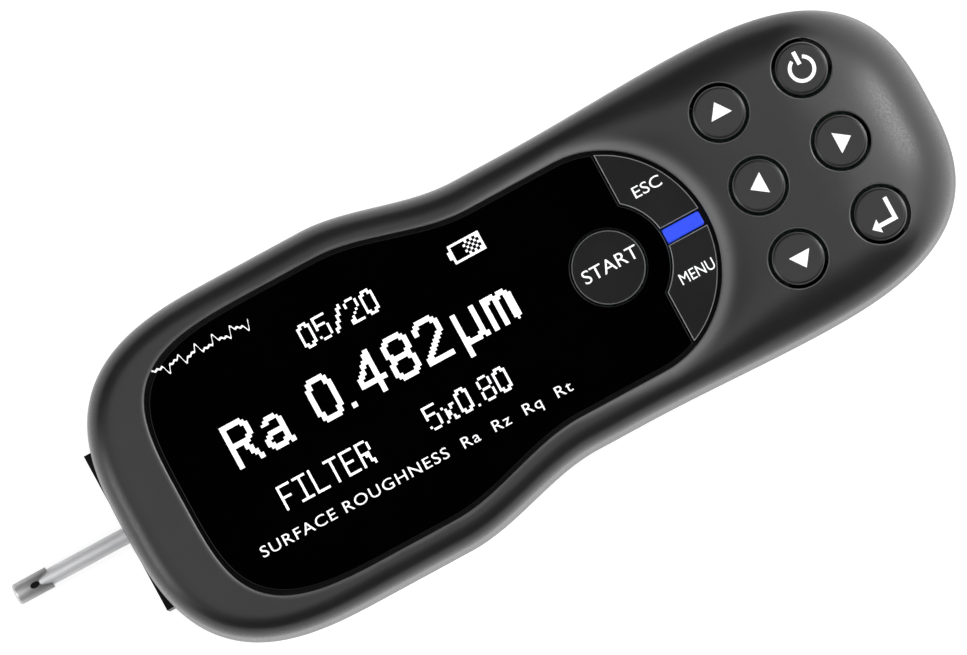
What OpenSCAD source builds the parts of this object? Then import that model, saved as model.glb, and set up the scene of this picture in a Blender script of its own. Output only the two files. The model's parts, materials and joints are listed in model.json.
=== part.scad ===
// Pocket surface roughness tester: a two-shell housing over a traverse drive with a lift-off pickup.
// X runs along the tester, pickup at -X. Z is up, and the two rails stand on Z = 0.

/* [Housing] */
// Length of the housing without the pickup
body_length = 138.5; // [134:0.5:143]
// How far the pickup reaches ahead of the housing
pickup_reach = 19.5; // [18.5:0.5:21]
// Greatest width, at the display
head_width = 55; // [54:0.5:60]
// Width at the waist
waist_width = 46.3; // [45.8:0.1:49]
// Width at the keypad
tail_width = 47.8; // [47:0.1:52]
// Height of the keypad's crown above the rails
body_height = 51.7; // [51.2:0.1:54]
// Rise of the keypad's crown above the display deck
hump_rise = 1.7; // [1.2:0.1:2.2]
// Length of the rounding at the display end
front_round = 30; // [24:1:36]
// Length of the rounding at the keypad end
rear_round = 33; // [30:1:36]
// Height of the seam between the two shells
seam_height = 27; // [26:0.5:28]
// Height of the belly above the rails
belly_height = 9; // [8.5:0.1:9.5]
// Thickness of the shell walls
wall = 2.2; // [1.8:0.1:2.4]
// Thickness of the roof over the keypad
roof = 2.4; // [2:0.1:2.6]

/* [Window and keys] */
// Width of the window at the display
window_width = 45; // [43:0.5:46]
// Width of the window at the start key
window_tail = 35.7; // [34:0.1:37]
// Rim in front of the window
window_rim = 10.3; // [9.5:0.1:11]
// Depth of the lens below the deck
lens_drop = 0.6; // [0.3:0.1:0.8]
// Thickness of the lens
lens_thickness = 2; // [1.6:0.1:2.2]
// Gap all round the lens
lens_gap = 0.4; // [0.3:0.05:0.6]
// Diameter of the start key
start_key_size = 11.2; // [10:0.1:12]
// Diameter of the round keys
round_key_size = 8; // [7.2:0.1:8.4]
// Gap around the round keys
round_key_gap = 0.55; // [0.35:0.05:0.7]
// How far each key goes down
key_travel = 0.8; // [0.4:0.1:0.9]

/* [Traverse drive] */
// Width of the drive base
base_width = 26.6; // [26:0.2:27]
// Height of the drive base
base_height = 22; // [21.6:0.1:22.2]
// Thickness of the drive base's walls
base_wall = 2.5; // [2.2:0.1:2.6]
// Diameter of the guide rods and the lead screw
rod_size = 3; // [2.6:0.1:3.2]
// Travel of the pickup
traverse_travel = 17.5; // [12.5:0.5:17.5]
// Running clearance on a radius
running_gap = 0.04; // [0.02:0.01:0.08]

/* [Pickup] */
// Outer diameter of the pickup tube
tube_size = 2.6; // [2.5:0.1:2.8]
// Outer diameter of the pickup body
pickup_size = 6.6; // [6.4:0.1:6.8]
// Width of the skid nose
nose_width = 3.4; // [3.2:0.1:3.8]
// Height of the pickup's axis above the rails
pickup_axis = 3.8; // [3.7:0.1:4]

/* [Hidden] */
$fn = 48;
x_front = (pickup_reach - body_length) / 2;
x_rear = (pickup_reach + body_length) / 2;
x_nose = x_front - pickup_reach;
deck_z = body_height - hump_rise;
front_power = 2.93;
rear_power = 2.85;
roll_power = 2.5;
cut = 40;
over = 1;

// Places along the housing
start_to_rear = 54.9;
waist_to_start = 26.6;
start_x = x_rear - start_to_rear;
waist_x = start_x - waist_to_start;
waist_run = 24;
tail_lead = 6;
tail_run = 24;
spine_front = x_front + front_round;
spine_rear = x_rear - rear_round;
window_front = x_front + window_rim;
window_end = 16.9;
window_front_round = 26;
window_front_power = 3.7;
column_to_rear = [29.1, 15];
key_columns = [for (d = column_to_rear) x_rear - d];
key_row = 12.5;

// Heights of the stack below the window
lens_top = deck_z - lens_drop;
lens_bottom = lens_top - lens_thickness;
ledge = 2;
window_roof = 4.4;
board_drop = 6.8;
board_top = deck_z - board_drop;
board_thickness = 1.6;
board_bottom = board_top - board_thickness;
switch_size = 4.4;
switch_height = 2.6;
stem_size = 2.2;
stem_bore = 2.7;
stem_entry = 1.2;
travel_spare = 0.2;
stem_tip = board_top + switch_height - stem_entry;
stem_bore_floor = stem_tip - key_travel - travel_spare;
key_proud = 0.3;
key_bevel = 0.4;
ring_bottom = lens_bottom + key_travel + travel_spare;
cap_spare = 0.5;
cap_bottom = board_top + switch_height + key_travel + cap_spare;
fit = 0.02;

// Display module below the lens
oled_inset = [5.6, 9];
oled_x = [window_front + oled_inset[0], start_x - oled_inset[1]];
oled_half = 15.5;
oled_lift = 1.4;
oled_gap = 0.2;
oled_z = [board_top + oled_lift, lens_bottom - oled_gap];
glass_step = 0.7;
glass_inset = [2, 5, 1.5];
frame_inset = 1;
frame_rim = 3;

// Main board and the chips below it
board_inset = [6.5, 11.4];
board_half = [14.5, 16.8, 14.7];
board_taper = 9;
board_neck = [6, 10];
chip_height = 1.2;
front_chip = [[-60, 10], [-48, 16]];
middle_chip = [[-36, -16], [-26, -10]];
rear_chip = [[12, -5], [22, 5]];

// Round the start key: the collar disc and the two ring keys
disc_radius = 9.4;
key_gap = 0.3;
start_to_chord = 5.9;
chord_x = start_x + start_to_chord;
bar_width = 2.2;
bar_foot = 2;
bar_proud = 0.1;
ring_switch = [8.5, 10.1];

// Shell rolls and bosses
seam_bevel = 0.35;
draft = 0.5;
display_roll = [4.2, 6];
keypad_roll = [11, 8];
rear_roll = [20, 20];
keypad_roll_run = 26;
rear_roll_run = 14;
hump_run = 10;
belly_roll = [5, 8];
boss_size = 6;
boss_inset = [13.5, 22];
boss_half = [20.3, 18.2];
boss_places = [[x_front + boss_inset[0], boss_half[0]], [x_rear - boss_inset[1], boss_half[1]]];
boss_sink = 1;
boss_clear = 0.8;
pilot_size = 2;
boss_pilot = 10;
post_pilot = 2;
screw_size = 2;
screw_head = [3.8, 1.6];
screw_clear = 0.4;
screw_bite = 8;
board_bite = 1.8;
head_clear = 0.6;
head_depth = 6;
post_size = 4.6;
post_sink = 0.6;
front_post = [9, 11.5];
post_places = [[x_front + front_post[0], front_post[1]],
    [(key_columns[0] + key_columns[1]) / 2, key_row / 2]];
foot_size = 4;

// Drive base
plate = 2;
base_length = 117.5;
base_front = x_front + plate;
base_rear = base_front + base_length;
base_half = base_width / 2;
base_roof = base_height - base_wall;
base_gap = 0.2;
rail_inner = 8;
tab_inset = [21.5, 14];
tab_places = [base_front + tab_inset[0], base_rear - tab_inset[1]];
tab_reach = 2.7;
tab_z = 12;
tab_size = [7, 2];
tab_screw = 1.6;
tab_screw_head = [2.6, 1];
tab_screw_clear = 0.3;
tab_screw_bite = 2;
tab_screw_inset = 1;
tab_screw_y = base_half + tab_reach - tab_screw_inset;
rod_y = 6.5;
rod_z = 14;
rod_inset = 23.5;
rod_length = 67;
rod_front = base_front + rod_inset;
rod_rear = rod_front + rod_length;
block_length = 4;
block_drop = 4.4;
bracket = 3;
bush_wall = 0.7;
bush_size = rod_size + 2 * bush_wall;
carriage_inset = 45.5;
carriage_front = base_front + carriage_inset;
carriage_length = 16;
carriage_rear = carriage_front + carriage_length;
carriage_edge = 0.5;
carriage_half = rod_y + bush_size / 2 + carriage_edge;
carriage_z = [8, 18];
limit_size = [5, 1.2, 4];
limit_gap = 1;
nut_wall = 1.5;
nut_size = rod_size + 2 * nut_wall;
nut_length = 8;
nut_flange = [8.4, 1.5];
pin_lead = 0.3;
pin_x = carriage_front - pin_lead;
pin_z = 5;
pin_size = 2;
socket_lead = 11.7;
socket_tail = 1.9;
socket_front = pin_x - socket_lead;
socket_half = 4.5;
socket_bore = 5.1;
socket_drop = 3.2;
socket_top = pickup_axis + socket_drop;
ear_gap = 0.4;
ear_reach = 2.9;
ear_x = [2.5, 4];
ear_drop = 2.1;
ear_root = 1;
plug_length = 9;
plug_flange = 2;
plug_fit = 0.1;
plug_end = 0.2;
motor_size = 10;
gearbox_length = 9;
motor_neck = [9.2, 1];
motor_length = 14;
motor_boss = [4, 1];
motor_shaft = 2;
shaft_entry = 6;
shaft_bore = 7;
shaft_clear = 2;
coupling_lead = 10;
coupling_front = rod_rear - coupling_lead;
coupling_length = 6.5;
coupling_size = 8;
screw_entry = 3.5;
screw_start = 0.5;
arm_length = 7.5;
arm_half = 3;
arm_z = [9.6, 11.4];
spring_x = 2.5;
spring_size = [3, 2.2];
spring_gap = 0.3;
cover_inset = 67.5;
cover_front = base_front + cover_inset;
cover_thickness = 1.2;
cover_gap = 0.15;
end_screw = 1.5;
end_screw_head = [2.3, 0.8];
end_screw_clear = 0.2;
end_screw_bite = 5.5;
end_screw_hole = 6;
end_screw_z = [4.5, 17.5];
slot_width = 9.4;
slot_z = 4.8;

// Pickup
pickup_length = 28;
body_front = socket_front - pickup_length;
body_bore = 5.6;
body_cap = 1.2;
tube_bore = 1.8;
nose_length = 6;
nose_bore = 4.2;
nose_skin = 1.2;
nose_front = [[0, 0], [0.8, 0.12], [1.35, 0.4]];
nose_edge = 0.8;
notch_x = 3;
notch_lift = 0.6;
notch_edge = 0.5;
eye_size = [1.5, 0.95];
eye_x = 3.5;
skid_x = 2.6;
skid_size = [4.4, 2.4];
skid_bottom = 0.5;
pivot_inset = 7;
pivot_x = body_front + pivot_inset;
pivot_pin = 0.8;
pivot_boss = [2.2, 1.6];
pivot_trim = 0.4;
coil_x = [5, 12];
coil_bore = 3.8;
armature_x = [7, 9.5];
armature_size = 2.8;
stylus_inset = 2.4;
stylus_x = x_nose + stylus_inset;
stylus_bottom = 0.3;
stylus_shank = 0.6;
stylus_point = 0.12;
stylus_hole = 1.5;
arm_size = 1;

// Battery and rear socket
cell_floor = 1.1;
cell_clear = 1.5;
cell_size = board_bottom - base_height - cell_floor - cell_clear;
cell_length = 50;
cell_inset = 27;
cell_front = x_front + cell_inset;
cell_z = base_height + cell_floor + cell_size / 2;
cell_cap = [6, 1.5];
cradle_inset = 3;
cradle_wall = 1;
cradle_height = 6;
usb_z = 21;
usb_size = [9, 7.7, 3.9];
usb_inset = 1;
usb_clear = 0.4;
usb_shell = 0.4;
usb_back = 2;
usb_cut = 14;
tongue_inset = 1;
tongue_half = 2.2;
tongue_z = [-0.2, 0.6];
power_board_top = usb_z - usb_size[2] / 2;
power_board_thickness = 1.4;
power_board_z = power_board_top - power_board_thickness;
power_board_half = 9;
power_board_inset = [0.6, 5];
power_foot = [8, 6];

// Plain blends
function clamp(v, low, high) = min(max(v, low), high);
function mix(a, b, t) = a + (b - a) * t;
function smooth(low, high, v) =
    let (t = clamp((v - low) / (high - low), 0, 1)) t * t * (3 - 2 * t);
function waist(x) = smooth(waist_x - waist_run / 2, waist_x + waist_run / 2, x);

// Half width of the housing away from its rounded ends
function flank(x) =
    mix(head_width, waist_width, waist(x)) / 2
    + (tail_width - waist_width) / 2 * smooth(start_x - tail_lead, start_x + tail_run, x);

// Half outline of the housing, from the front tip to the rear tip
end_step = 10;
front_half = [for (a = [0:end_step:90])
    let (x = x_front + front_round * (1 - pow(cos(a), 2 / front_power)))
    [x, flank(x) * pow(sin(a), 2 / front_power)]];
middle_steps = 16;
middle_half = [for (i = [1:middle_steps - 1])
    let (x = mix(spine_front, spine_rear, i / middle_steps))
    [x, flank(x)]];
rear_half = [for (a = [90:-end_step:0])
    let (x = x_rear - rear_round * (1 - pow(cos(a), 2 / rear_power)))
    [x, flank(x) * pow(sin(a), 2 / rear_power)]];
half_outline = concat(front_half, middle_half, rear_half);
half_count = len(half_outline);
outline = concat(half_outline, [for (i = [half_count - 2:-1:1]) [half_outline[i][0], -half_outline[i][1]]]);
outline_count = len(outline);

// A point moved from the outline towards the spine by a distance
function spine(p) = [clamp(p[0], spine_front, spine_rear), 0];
function inward(p, d) = let (s = spine(p), v = p - s) s + v * (1 - d / norm(v));

// Height of the deck: level at the display, crowned round the far side of the window's round end
function hump(q) =
    let (v = q - [start_x, 0], r = max(norm(v), 1), t = clamp((r - window_end) / hump_run, 0, 1))
    (1 - (1 - t) * (1 - t)) * smooth(0.1, 0.8, v[0] / r);
function crown(q) = deck_z + hump_rise * hump(q);
function roof_at(q) = mix(window_roof, roof, hump(q));

// Width and height of the roll from the side wall to the deck
function roll(x) =
    display_roll
    + (keypad_roll - display_roll) * smooth(start_x, start_x + keypad_roll_run, x)
    + (rear_roll - keypad_roll) * smooth(x_rear - rear_roll_run, x_rear, x);

// Ring of the upper shell at an angle of its roll, shifted inwards by inset
function roll_point(p, angle, inset, inner) =
    let (r = roll(p[0]),
         q = inward(p, inset + draft + r[0] * (1 - pow(cos(angle), 2 / roll_power))),
         z = crown(q) - (inner ? roof_at(q) : 0) - r[1] * (1 - pow(sin(angle), 2 / roll_power)))
    [q[0], q[1], z];
function roll_ring(angle, inset, inner) = [for (p = outline) roll_point(p, angle, inset, inner)];

// Ring of the deck between the roll and the spine
function deck_ring(t, inset, inner) =
    [for (p = outline)
        let (e = roll_point(p, 90, inset, inner),
             s = spine(p),
             q = [mix(e[0], s[0], t), mix(e[1], s[1], t)])
        [q[0], q[1], crown(q) - (inner ? roof_at(q) : 0)]];

// Ring of the lower shell, and level rings by the seam
function belly_ring(angle, inset, lift) =
    [for (p = outline)
        let (q = inward(p, inset + draft + belly_roll[0] * (1 - pow(cos(angle), 2 / roll_power))))
        [q[0], q[1], belly_height + lift + belly_roll[1] * (1 - pow(sin(angle), 2 / roll_power))]];
function floor_ring(t, inset, lift) =
    [for (p = outline)
        let (e = inward(p, inset + draft + belly_roll[0]), s = spine(p))
        [mix(e[0], s[0], t), mix(e[1], s[1], t), belly_height + lift]];
function level_ring(inset, z) = [for (p = outline) let (q = inward(p, inset)) [q[0], q[1], z]];

// Closed solid through rings, from a first cap to a last cap
module loft(rings) {
    n = outline_count;
    m = len(rings);
    h = n / 2;
    top = (m - 1) * n;
    sides = [for (k = [0:m - 2], i = [0:n - 1])
        let (a = k * n + i, b = k * n + (i + 1) % n)
        each [[a, b, b + n], [a, b + n, a + n]]];
    first_cap = concat(
        [[0, n - 1, 1]],
        [for (i = [1:h - 2]) each [[i, n - i, n - i - 1], [i, n - i - 1, i + 1]]],
        [[h - 1, h + 1, h]]);
    last_cap = concat(
        [[top, top + 1, top + n - 1]],
        [for (i = [1:h - 2])
            each [[top + i, top + n - i - 1, top + n - i], [top + i, top + i + 1, top + n - i - 1]]],
        [[top + h - 1, top + h, top + h + 1]]);
    polyhedron(points = [for (r = rings) each r], faces = concat(sides, first_cap, last_cap));
}

// Outline of the window, drawn in by a gap
function window_half(x) = mix(window_width, window_tail, waist(x)) / 2;
function window_points(gap) =
    let (front = [for (a = [0:end_step:90])
             let (x = window_front + gap + window_front_round * (1 - pow(cos(a), 2 / window_front_power)))
             [x, (window_half(x) - gap) * pow(sin(a), 2 / window_front_power)]],
         middle = [for (i = [1:middle_steps - 1])
             let (x = mix(window_front + gap + window_front_round, start_x, i / middle_steps))
             [x, window_half(x) - gap]],
         round_end = [for (a = [90:-end_step / 2:0])
             [start_x + (window_end - gap) * cos(a), (window_tail / 2 - gap) * sin(a)]],
         half = concat(front, middle, round_end))
    concat(half, [for (i = [len(half) - 2:-1:1]) [half[i][0], -half[i][1]]]);

// Height of the outer skin over a point of the keypad
function skin_z(q) =
    let (s = spine(q),
         v = q - s,
         reach = [abs(v[0]) / rear_round, abs(v[1]) / flank(q[0])],
         k = pow(pow(reach[0], rear_power) + pow(reach[1], rear_power), -1 / rear_power),
         edge = s + v * k,
         r = roll(edge[0]),
         c = clamp(1 - (norm(v) * (k - 1) - draft) / r[0], 0, 1))
    crown(q) - r[1] * (1 - pow(1 - pow(c, roll_power), 1 / roll_power));

// Both sides of the tester
module both_sides() {
    children();
    mirror([0, 1, 0]) children();
}

// Cylinder along X between two places
module rod_x(x0, x1, size) {
    translate([x0, 0, 0]) rotate([0, 90, 0]) cylinder(d = size, h = x1 - x0);
}

// Cylinder along Y, centred
module rod_y(length, size) {
    rotate([90, 0, 0]) cylinder(d = size, h = length, center = true);
}

// Box from one corner to the other
module box(low, high) {
    translate(low) cube(high - low);
}

// Housing
module upper_housing() {
    rings = concat(
        [deck_ring(0.9, wall, true), deck_ring(0.5, wall, true)],
        [for (a = [90, 62, 36, 14, 0]) roll_ring(a, wall, true)],
        [level_ring(wall, seam_height), level_ring(seam_bevel, seam_height),
         level_ring(0, seam_height + seam_bevel)],
        [for (a = [0, 12, 24, 36, 50, 64, 78, 90]) roll_ring(a, 0, false)],
        [for (t = [0.3, 0.6, 0.9]) deck_ring(t, 0, false)]);
    color("dimgray")
    difference() {
        union() {
            loft(rings);
            both_sides()
            for (p = boss_places)
                translate([p[0], p[1], seam_height])
                cylinder(d = boss_size, h = boss_top(p) - seam_height);
            both_sides()
            for (p = post_places)
                translate([p[0], p[1], board_top])
                cylinder(d = post_size, h = crown(p) - roof_at(p) + post_sink - board_top);
        }
        translate([0, 0, lens_bottom]) linear_extrude(cut) polygon(window_points(0));
        translate([0, 0, board_top - cut / 2]) linear_extrude(cut) polygon(window_points(ledge));
        for (x = key_columns, y = [-key_row, 0, key_row])
            translate([x, y, board_top + switch_height])
            cylinder(d = round_key_size + 2 * round_key_gap, h = cut);
        both_sides()
        for (p = boss_places)
            translate([p[0], p[1], seam_height - over])
            cylinder(d = pilot_size, h = boss_pilot + over);
        both_sides()
        for (p = post_places)
            translate([p[0], p[1], board_top - over])
            cylinder(d = pilot_size, h = post_pilot + over);
    }
}

// Top of a screw boss, inside the roof above it
function boss_top(p) = p[0] < start_x ? deck_z - window_roof + boss_sink : skin_z(p) - roof - boss_clear;

module lower_housing() {
    rings = concat(
        [floor_ring(0.9, 0, 0), floor_ring(0.45, 0, 0)],
        [for (a = [90, 72, 54, 36, 18, 0]) belly_ring(a, 0, 0)],
        [level_ring(0, seam_height - seam_bevel), level_ring(seam_bevel, seam_height),
         level_ring(wall, seam_height)],
        [for (a = [0, 30, 60, 90]) belly_ring(a, wall, wall)],
        [floor_ring(0.9, wall, wall)]);
    color([0.13, 0.13, 0.14])
    difference() {
        union() {
            loft(rings);
            both_sides()
            for (p = boss_places)
                translate([p[0], p[1], belly_height + wall / 2])
                cylinder(d = boss_size, h = seam_height - belly_height - wall / 2);
            both_sides()
            for (x = tab_places)
                translate([x, tab_screw_y, belly_height + wall / 2])
                cylinder(d = foot_size, h = tab_z - belly_height - wall / 2);
            both_sides()
            translate([base_rear + power_foot[0], power_foot[1], belly_height + wall / 2])
            cylinder(d = foot_size, h = power_board_z - belly_height - wall / 2);
        }
        box([x_front - over, -base_half - base_gap, -over],
            [base_rear + plate + base_gap, base_half + base_gap, base_height + base_gap]);
        translate([x_rear - usb_cut, -usb_size[1] / 2 - usb_clear, usb_z - usb_size[2] / 2 - usb_clear])
        cube([cut, usb_size[1] + 2 * usb_clear, usb_size[2] + 2 * usb_clear]);
        both_sides()
        for (p = boss_places) {
            translate([p[0], p[1], 0]) cylinder(d = screw_size + screw_clear, h = cut);
            translate([p[0], p[1], 0])
            cylinder(d = screw_head[0] + head_clear, h = belly_height + head_depth);
        }
        both_sides()
        for (x = tab_places)
            translate([x, tab_screw_y, tab_z - tab_screw_bite - base_gap])
            cylinder(d = tab_screw, h = tab_screw_bite + base_gap + over);
    }
}

// Display, board and lights
module display_lens() {
    color([0.02, 0.02, 0.02])
    difference() {
        translate([0, 0, lens_bottom]) linear_extrude(lens_thickness) polygon(window_points(lens_gap));
        difference() {
            box([chord_x - key_gap / 2, -cut, 0], [chord_x + cut, cut, cut * 2]);
            translate([start_x, 0, 0]) cylinder(r = disc_radius, h = cut * 2);
        }
        translate([start_x, 0, 0]) cylinder(d = start_key_size + 2 * key_gap, h = cut * 2);
    }
}

module oled_frame() {
    color("black")
    difference() {
        box([oled_x[0] + frame_inset, frame_inset - oled_half, board_top],
            [oled_x[1] - frame_inset, oled_half - frame_inset, oled_z[0]]);
        box([oled_x[0] + frame_inset + frame_rim, frame_inset + frame_rim - oled_half, 0],
            [oled_x[1] - frame_inset - frame_rim, oled_half - frame_inset - frame_rim, cut * 2]);
    }
}

module oled_module() {
    color([0.05, 0.05, 0.07])
    union() {
        box([oled_x[0], -oled_half, oled_z[0]], [oled_x[1], oled_half, oled_z[1] - glass_step]);
        box([oled_x[0] + glass_inset[0], glass_inset[2] - oled_half, oled_z[0]],
            [oled_x[1] - glass_inset[1], oled_half - glass_inset[2], oled_z[1]]);
    }
}

module main_board() {
    front = x_front + board_inset[0];
    rear = x_rear - board_inset[1];
    upper_edge = [[front, board_half[0]], [front + board_taper, board_half[1]],
        [start_x + board_neck[0], board_half[1]], [start_x + board_neck[1], board_half[2]],
        [rear, board_half[2]]];
    lower_edge = [for (i = [len(upper_edge) - 1:-1:0]) [upper_edge[i][0], -upper_edge[i][1]]];
    color("darkgreen")
    union() {
        difference() {
            translate([0, 0, board_bottom])
            linear_extrude(board_thickness) polygon(concat(upper_edge, lower_edge));
            both_sides()
            for (p = post_places)
                translate([p[0], p[1], 0]) cylinder(d = screw_size + screw_clear, h = cut * 2);
        }
        for (chip = [front_chip, middle_chip, rear_chip])
            box([start_x + chip[0][0], chip[0][1], board_bottom - chip_height],
                [start_x + chip[1][0], chip[1][1], board_bottom]);
    }
}

// Places of the nine switches
switch_places = concat(
    [[start_x, 0]],
    [for (side = [-1, 1]) [start_x + ring_switch[0], side * ring_switch[1]]],
    [for (x = key_columns, y = [-key_row, 0, key_row]) [x, y]]);

module key_switches() {
    color([0.2, 0.2, 0.2])
    for (p = switch_places)
        translate([p[0], p[1], 0])
        difference() {
            translate([-switch_size / 2, -switch_size / 2, board_top])
            cube([switch_size, switch_size, switch_height]);
            translate([0, 0, stem_bore_floor]) cylinder(d = stem_bore, h = cut);
        }
}

module light_bar() {
    front = start_x + disc_radius + key_gap;
    rear = start_x + window_end - lens_gap;
    color([0.2, 0.38, 0.96])
    union() {
        box([front, -bar_width / 2, lens_bottom], [rear, bar_width / 2, lens_top + bar_proud]);
        box([front, -bar_width / 2, board_top], [front + bar_foot, bar_width / 2, lens_bottom]);
    }
}

// Keys
module stem(top) {
    translate([0, 0, stem_tip]) cylinder(d = stem_size, h = top - stem_tip);
}

module start_key() {
    color([0.13, 0.13, 0.14])
    translate([start_x, 0, 0]) {
        translate([0, 0, ring_bottom]) cylinder(d = start_key_size, h = lens_top + key_proud - ring_bottom);
        stem(ring_bottom);
    }
}

module ring_key() {
    color([0.13, 0.13, 0.14])
    union() {
        difference() {
            translate([0, 0, ring_bottom])
            linear_extrude(lens_top + key_proud - ring_bottom) polygon(window_points(lens_gap));
            box([window_front - over, -cut, 0], [chord_x + key_gap / 2, cut, cut * 2]);
            box([start_x, -cut, 0], [start_x + cut, bar_width / 2 + key_gap, cut * 2]);
            translate([start_x, 0, 0]) cylinder(r = disc_radius + key_gap, h = cut * 2);
        }
        translate([start_x + ring_switch[0], ring_switch[1], 0]) stem(ring_bottom);
    }
}

module esc_key() {
    ring_key();
}

module menu_key() {
    mirror([0, 1, 0]) ring_key();
}

module round_key(column, row) {
    place = [key_columns[column], row * key_row];
    r = round_key_size / 2;
    top = skin_z(place) + key_proud;
    color([0.25, 0.25, 0.26])
    translate([place[0], place[1], 0])
    rotate_extrude()
    polygon([[0, stem_tip], [stem_size / 2, stem_tip], [stem_size / 2, cap_bottom], [r, cap_bottom],
        [r, top - key_bevel], [r - key_bevel, top], [0, top]]);
}

module up_key() {
    round_key(0, 1);
}

module left_key() {
    round_key(0, 0);
}

module down_key() {
    round_key(0, -1);
}

module power_key() {
    round_key(1, 1);
}

module right_key() {
    round_key(1, 0);
}

module enter_key() {
    round_key(1, -1);
}

// Drive base: a channel open to the surface below, its two feet turned in as rails
module drive_base() {
    h = base_half;
    w = base_wall;
    profile = [[-h, 0], [-rail_inner, 0], [-rail_inner, w], [w - h, w], [w - h, base_roof],
        [h - w, base_roof], [h - w, w], [rail_inner, w], [rail_inner, 0], [h, 0], [h, base_height],
        [-h, base_height]];
    color([0.08, 0.08, 0.09])
    difference() {
        union() {
            translate([base_front, 0, 0])
            rotate([90, 0, 90]) linear_extrude(base_length) polygon(profile);
            both_sides()
            for (x = tab_places)
                box([x - tab_size[0] / 2, h - w / 2, tab_z],
                    [x + tab_size[0] / 2, h + tab_reach, tab_z + tab_size[1]]);
        }
        both_sides()
        for (x = tab_places)
            translate([x, tab_screw_y, 0]) cylinder(d = tab_screw + tab_screw_clear, h = cut);
        both_sides()
        for (z = end_screw_z) {
            translate([0, h - w / 2, z]) rod_x(base_front - over, base_front + end_screw_hole, end_screw);
            translate([0, h - w / 2, z]) rod_x(base_rear - end_screw_hole, base_rear + over, end_screw);
        }
    }
}

module base_cover() {
    reach = base_half - base_wall - cover_gap;
    color([0.08, 0.08, 0.09])
    box([cover_front, -reach, base_wall], [base_rear, reach, base_wall + cover_thickness]);
}

module end_plate() {
    difference() {
        box([0, -base_half, 0], [plate, base_half, base_height]);
        both_sides()
        for (z = end_screw_z)
            translate([0, base_half - base_wall / 2, z]) {
                rod_x(-over, plate + over, end_screw + end_screw_clear);
                rod_x(-over, end_screw_head[1], end_screw_head[0] + end_screw_clear);
            }
    }
}

module front_plate() {
    color([0.08, 0.08, 0.09])
    difference() {
        translate([x_front, 0, 0]) end_plate();
        translate([0, 0, slot_z]) rod_x(x_front - over, x_front + plate + over, slot_width);
        box([x_front - over, -slot_width / 2, -over], [x_front + plate + over, slot_width / 2, slot_z]);
    }
}

module base_end_plate() {
    color([0.08, 0.08, 0.09])
    translate([base_rear + plate, 0, 0]) mirror([1, 0, 0]) end_plate();
}

// Drive: motor, coupling, lead screw and guide rods along the channel
module motor_bracket() {
    reach = base_half - base_wall;
    color("silver")
    difference() {
        box([rod_rear - bracket, -reach, base_wall + cover_thickness], [rod_rear, reach, base_roof]);
        both_sides() translate([0, rod_y, rod_z]) rod_x(rod_rear - bracket - over, rod_rear + over, rod_size);
        translate([0, 0, rod_z]) rod_x(rod_rear - bracket - over, rod_rear + over, motor_shaft + shaft_clear);
    }
}

module gear_motor() {
    neck = rod_rear + gearbox_length;
    can = neck + motor_neck[1];
    end = can + motor_length;
    color("silver")
    translate([0, 0, rod_z])
    difference() {
        union() {
            rod_x(rod_rear, neck, motor_size);
            rod_x(neck, can, motor_neck[0]);
            rod_x(can, end, motor_size);
            rod_x(end, end + motor_boss[1], motor_boss[0]);
        }
        rod_x(rod_rear - over, rod_rear + shaft_bore, motor_shaft + 2 * running_gap);
    }
}

module guide_rods() {
    color("silver")
    both_sides() translate([0, rod_y, rod_z]) rod_x(rod_front, rod_rear, rod_size);
}

module rod_block() {
    reach = base_half - base_wall;
    rear = rod_front + block_length;
    color("silver")
    difference() {
        box([rod_front, -reach, rod_z - block_drop], [rear, reach, base_roof]);
        both_sides() translate([0, rod_y, rod_z]) rod_x(rod_front - over, rear + over, rod_size);
        translate([0, 0, rod_z]) rod_x(rod_front - over, rear + over, rod_size + 2 * running_gap);
    }
}

module limit_switches() {
    wall_y = base_half - base_wall;
    color("black")
    for (x = [carriage_front - limit_size[0] - limit_gap, carriage_rear + traverse_travel + limit_gap])
        box([x, wall_y - limit_size[1], rod_z - limit_size[2] / 2],
            [x + limit_size[0], wall_y, rod_z + limit_size[2] / 2]);
}

module lead_screw() {
    color("silver")
    translate([0, 0, rod_z]) rod_x(rod_front + screw_start, coupling_front + screw_entry, rod_size);
}

module shaft_coupling() {
    color("goldenrod")
    translate([0, 0, rod_z])
    union() {
        difference() {
            rod_x(coupling_front, coupling_front + coupling_length, coupling_size);
            rod_x(coupling_front - over, coupling_front + screw_entry, rod_size);
        }
        rod_x(coupling_front + coupling_length, rod_rear + shaft_entry, motor_shaft);
    }
}

// Carriage
module carriage_block() {
    ear = [socket_half + ear_gap, socket_half + ear_reach];
    color("lightgray")
    difference() {
        union() {
            box([carriage_front, -carriage_half, carriage_z[0]],
                [carriage_rear, carriage_half, carriage_z[1]]);
            both_sides()
            box([pin_x - ear_x[0], ear[0], pin_z - ear_drop],
                [pin_x + ear_x[1], ear[1], carriage_z[0] + ear_root]);
            box([carriage_front - arm_length, -arm_half, arm_z[0]],
                [carriage_front + over, arm_half, arm_z[1]]);
        }
        both_sides()
        translate([0, rod_y, rod_z]) rod_x(carriage_front - over, carriage_rear + over, bush_size);
        translate([0, 0, rod_z]) rod_x(carriage_front - over, carriage_rear + over, nut_size);
        translate([pin_x, 0, pin_z]) rod_y(cut, pin_size);
    }
}

module lead_nut() {
    color("goldenrod")
    translate([0, 0, rod_z])
    difference() {
        union() {
            rod_x(carriage_rear - nut_length, carriage_rear, nut_size);
            rod_x(carriage_rear, carriage_rear + nut_flange[1], nut_flange[0]);
        }
        rod_x(carriage_front, carriage_rear + cut, rod_size + 2 * running_gap);
    }
}

module rod_bushes() {
    color("goldenrod")
    both_sides()
    translate([0, rod_y, rod_z])
    difference() {
        rod_x(carriage_front, carriage_rear, bush_size);
        rod_x(carriage_front - over, carriage_rear + over, rod_size + 2 * running_gap);
    }
}

module socket_pin() {
    color("silver")
    translate([pin_x, 0, pin_z]) rod_y(2 * (socket_half + ear_reach), pin_size);
}

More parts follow.
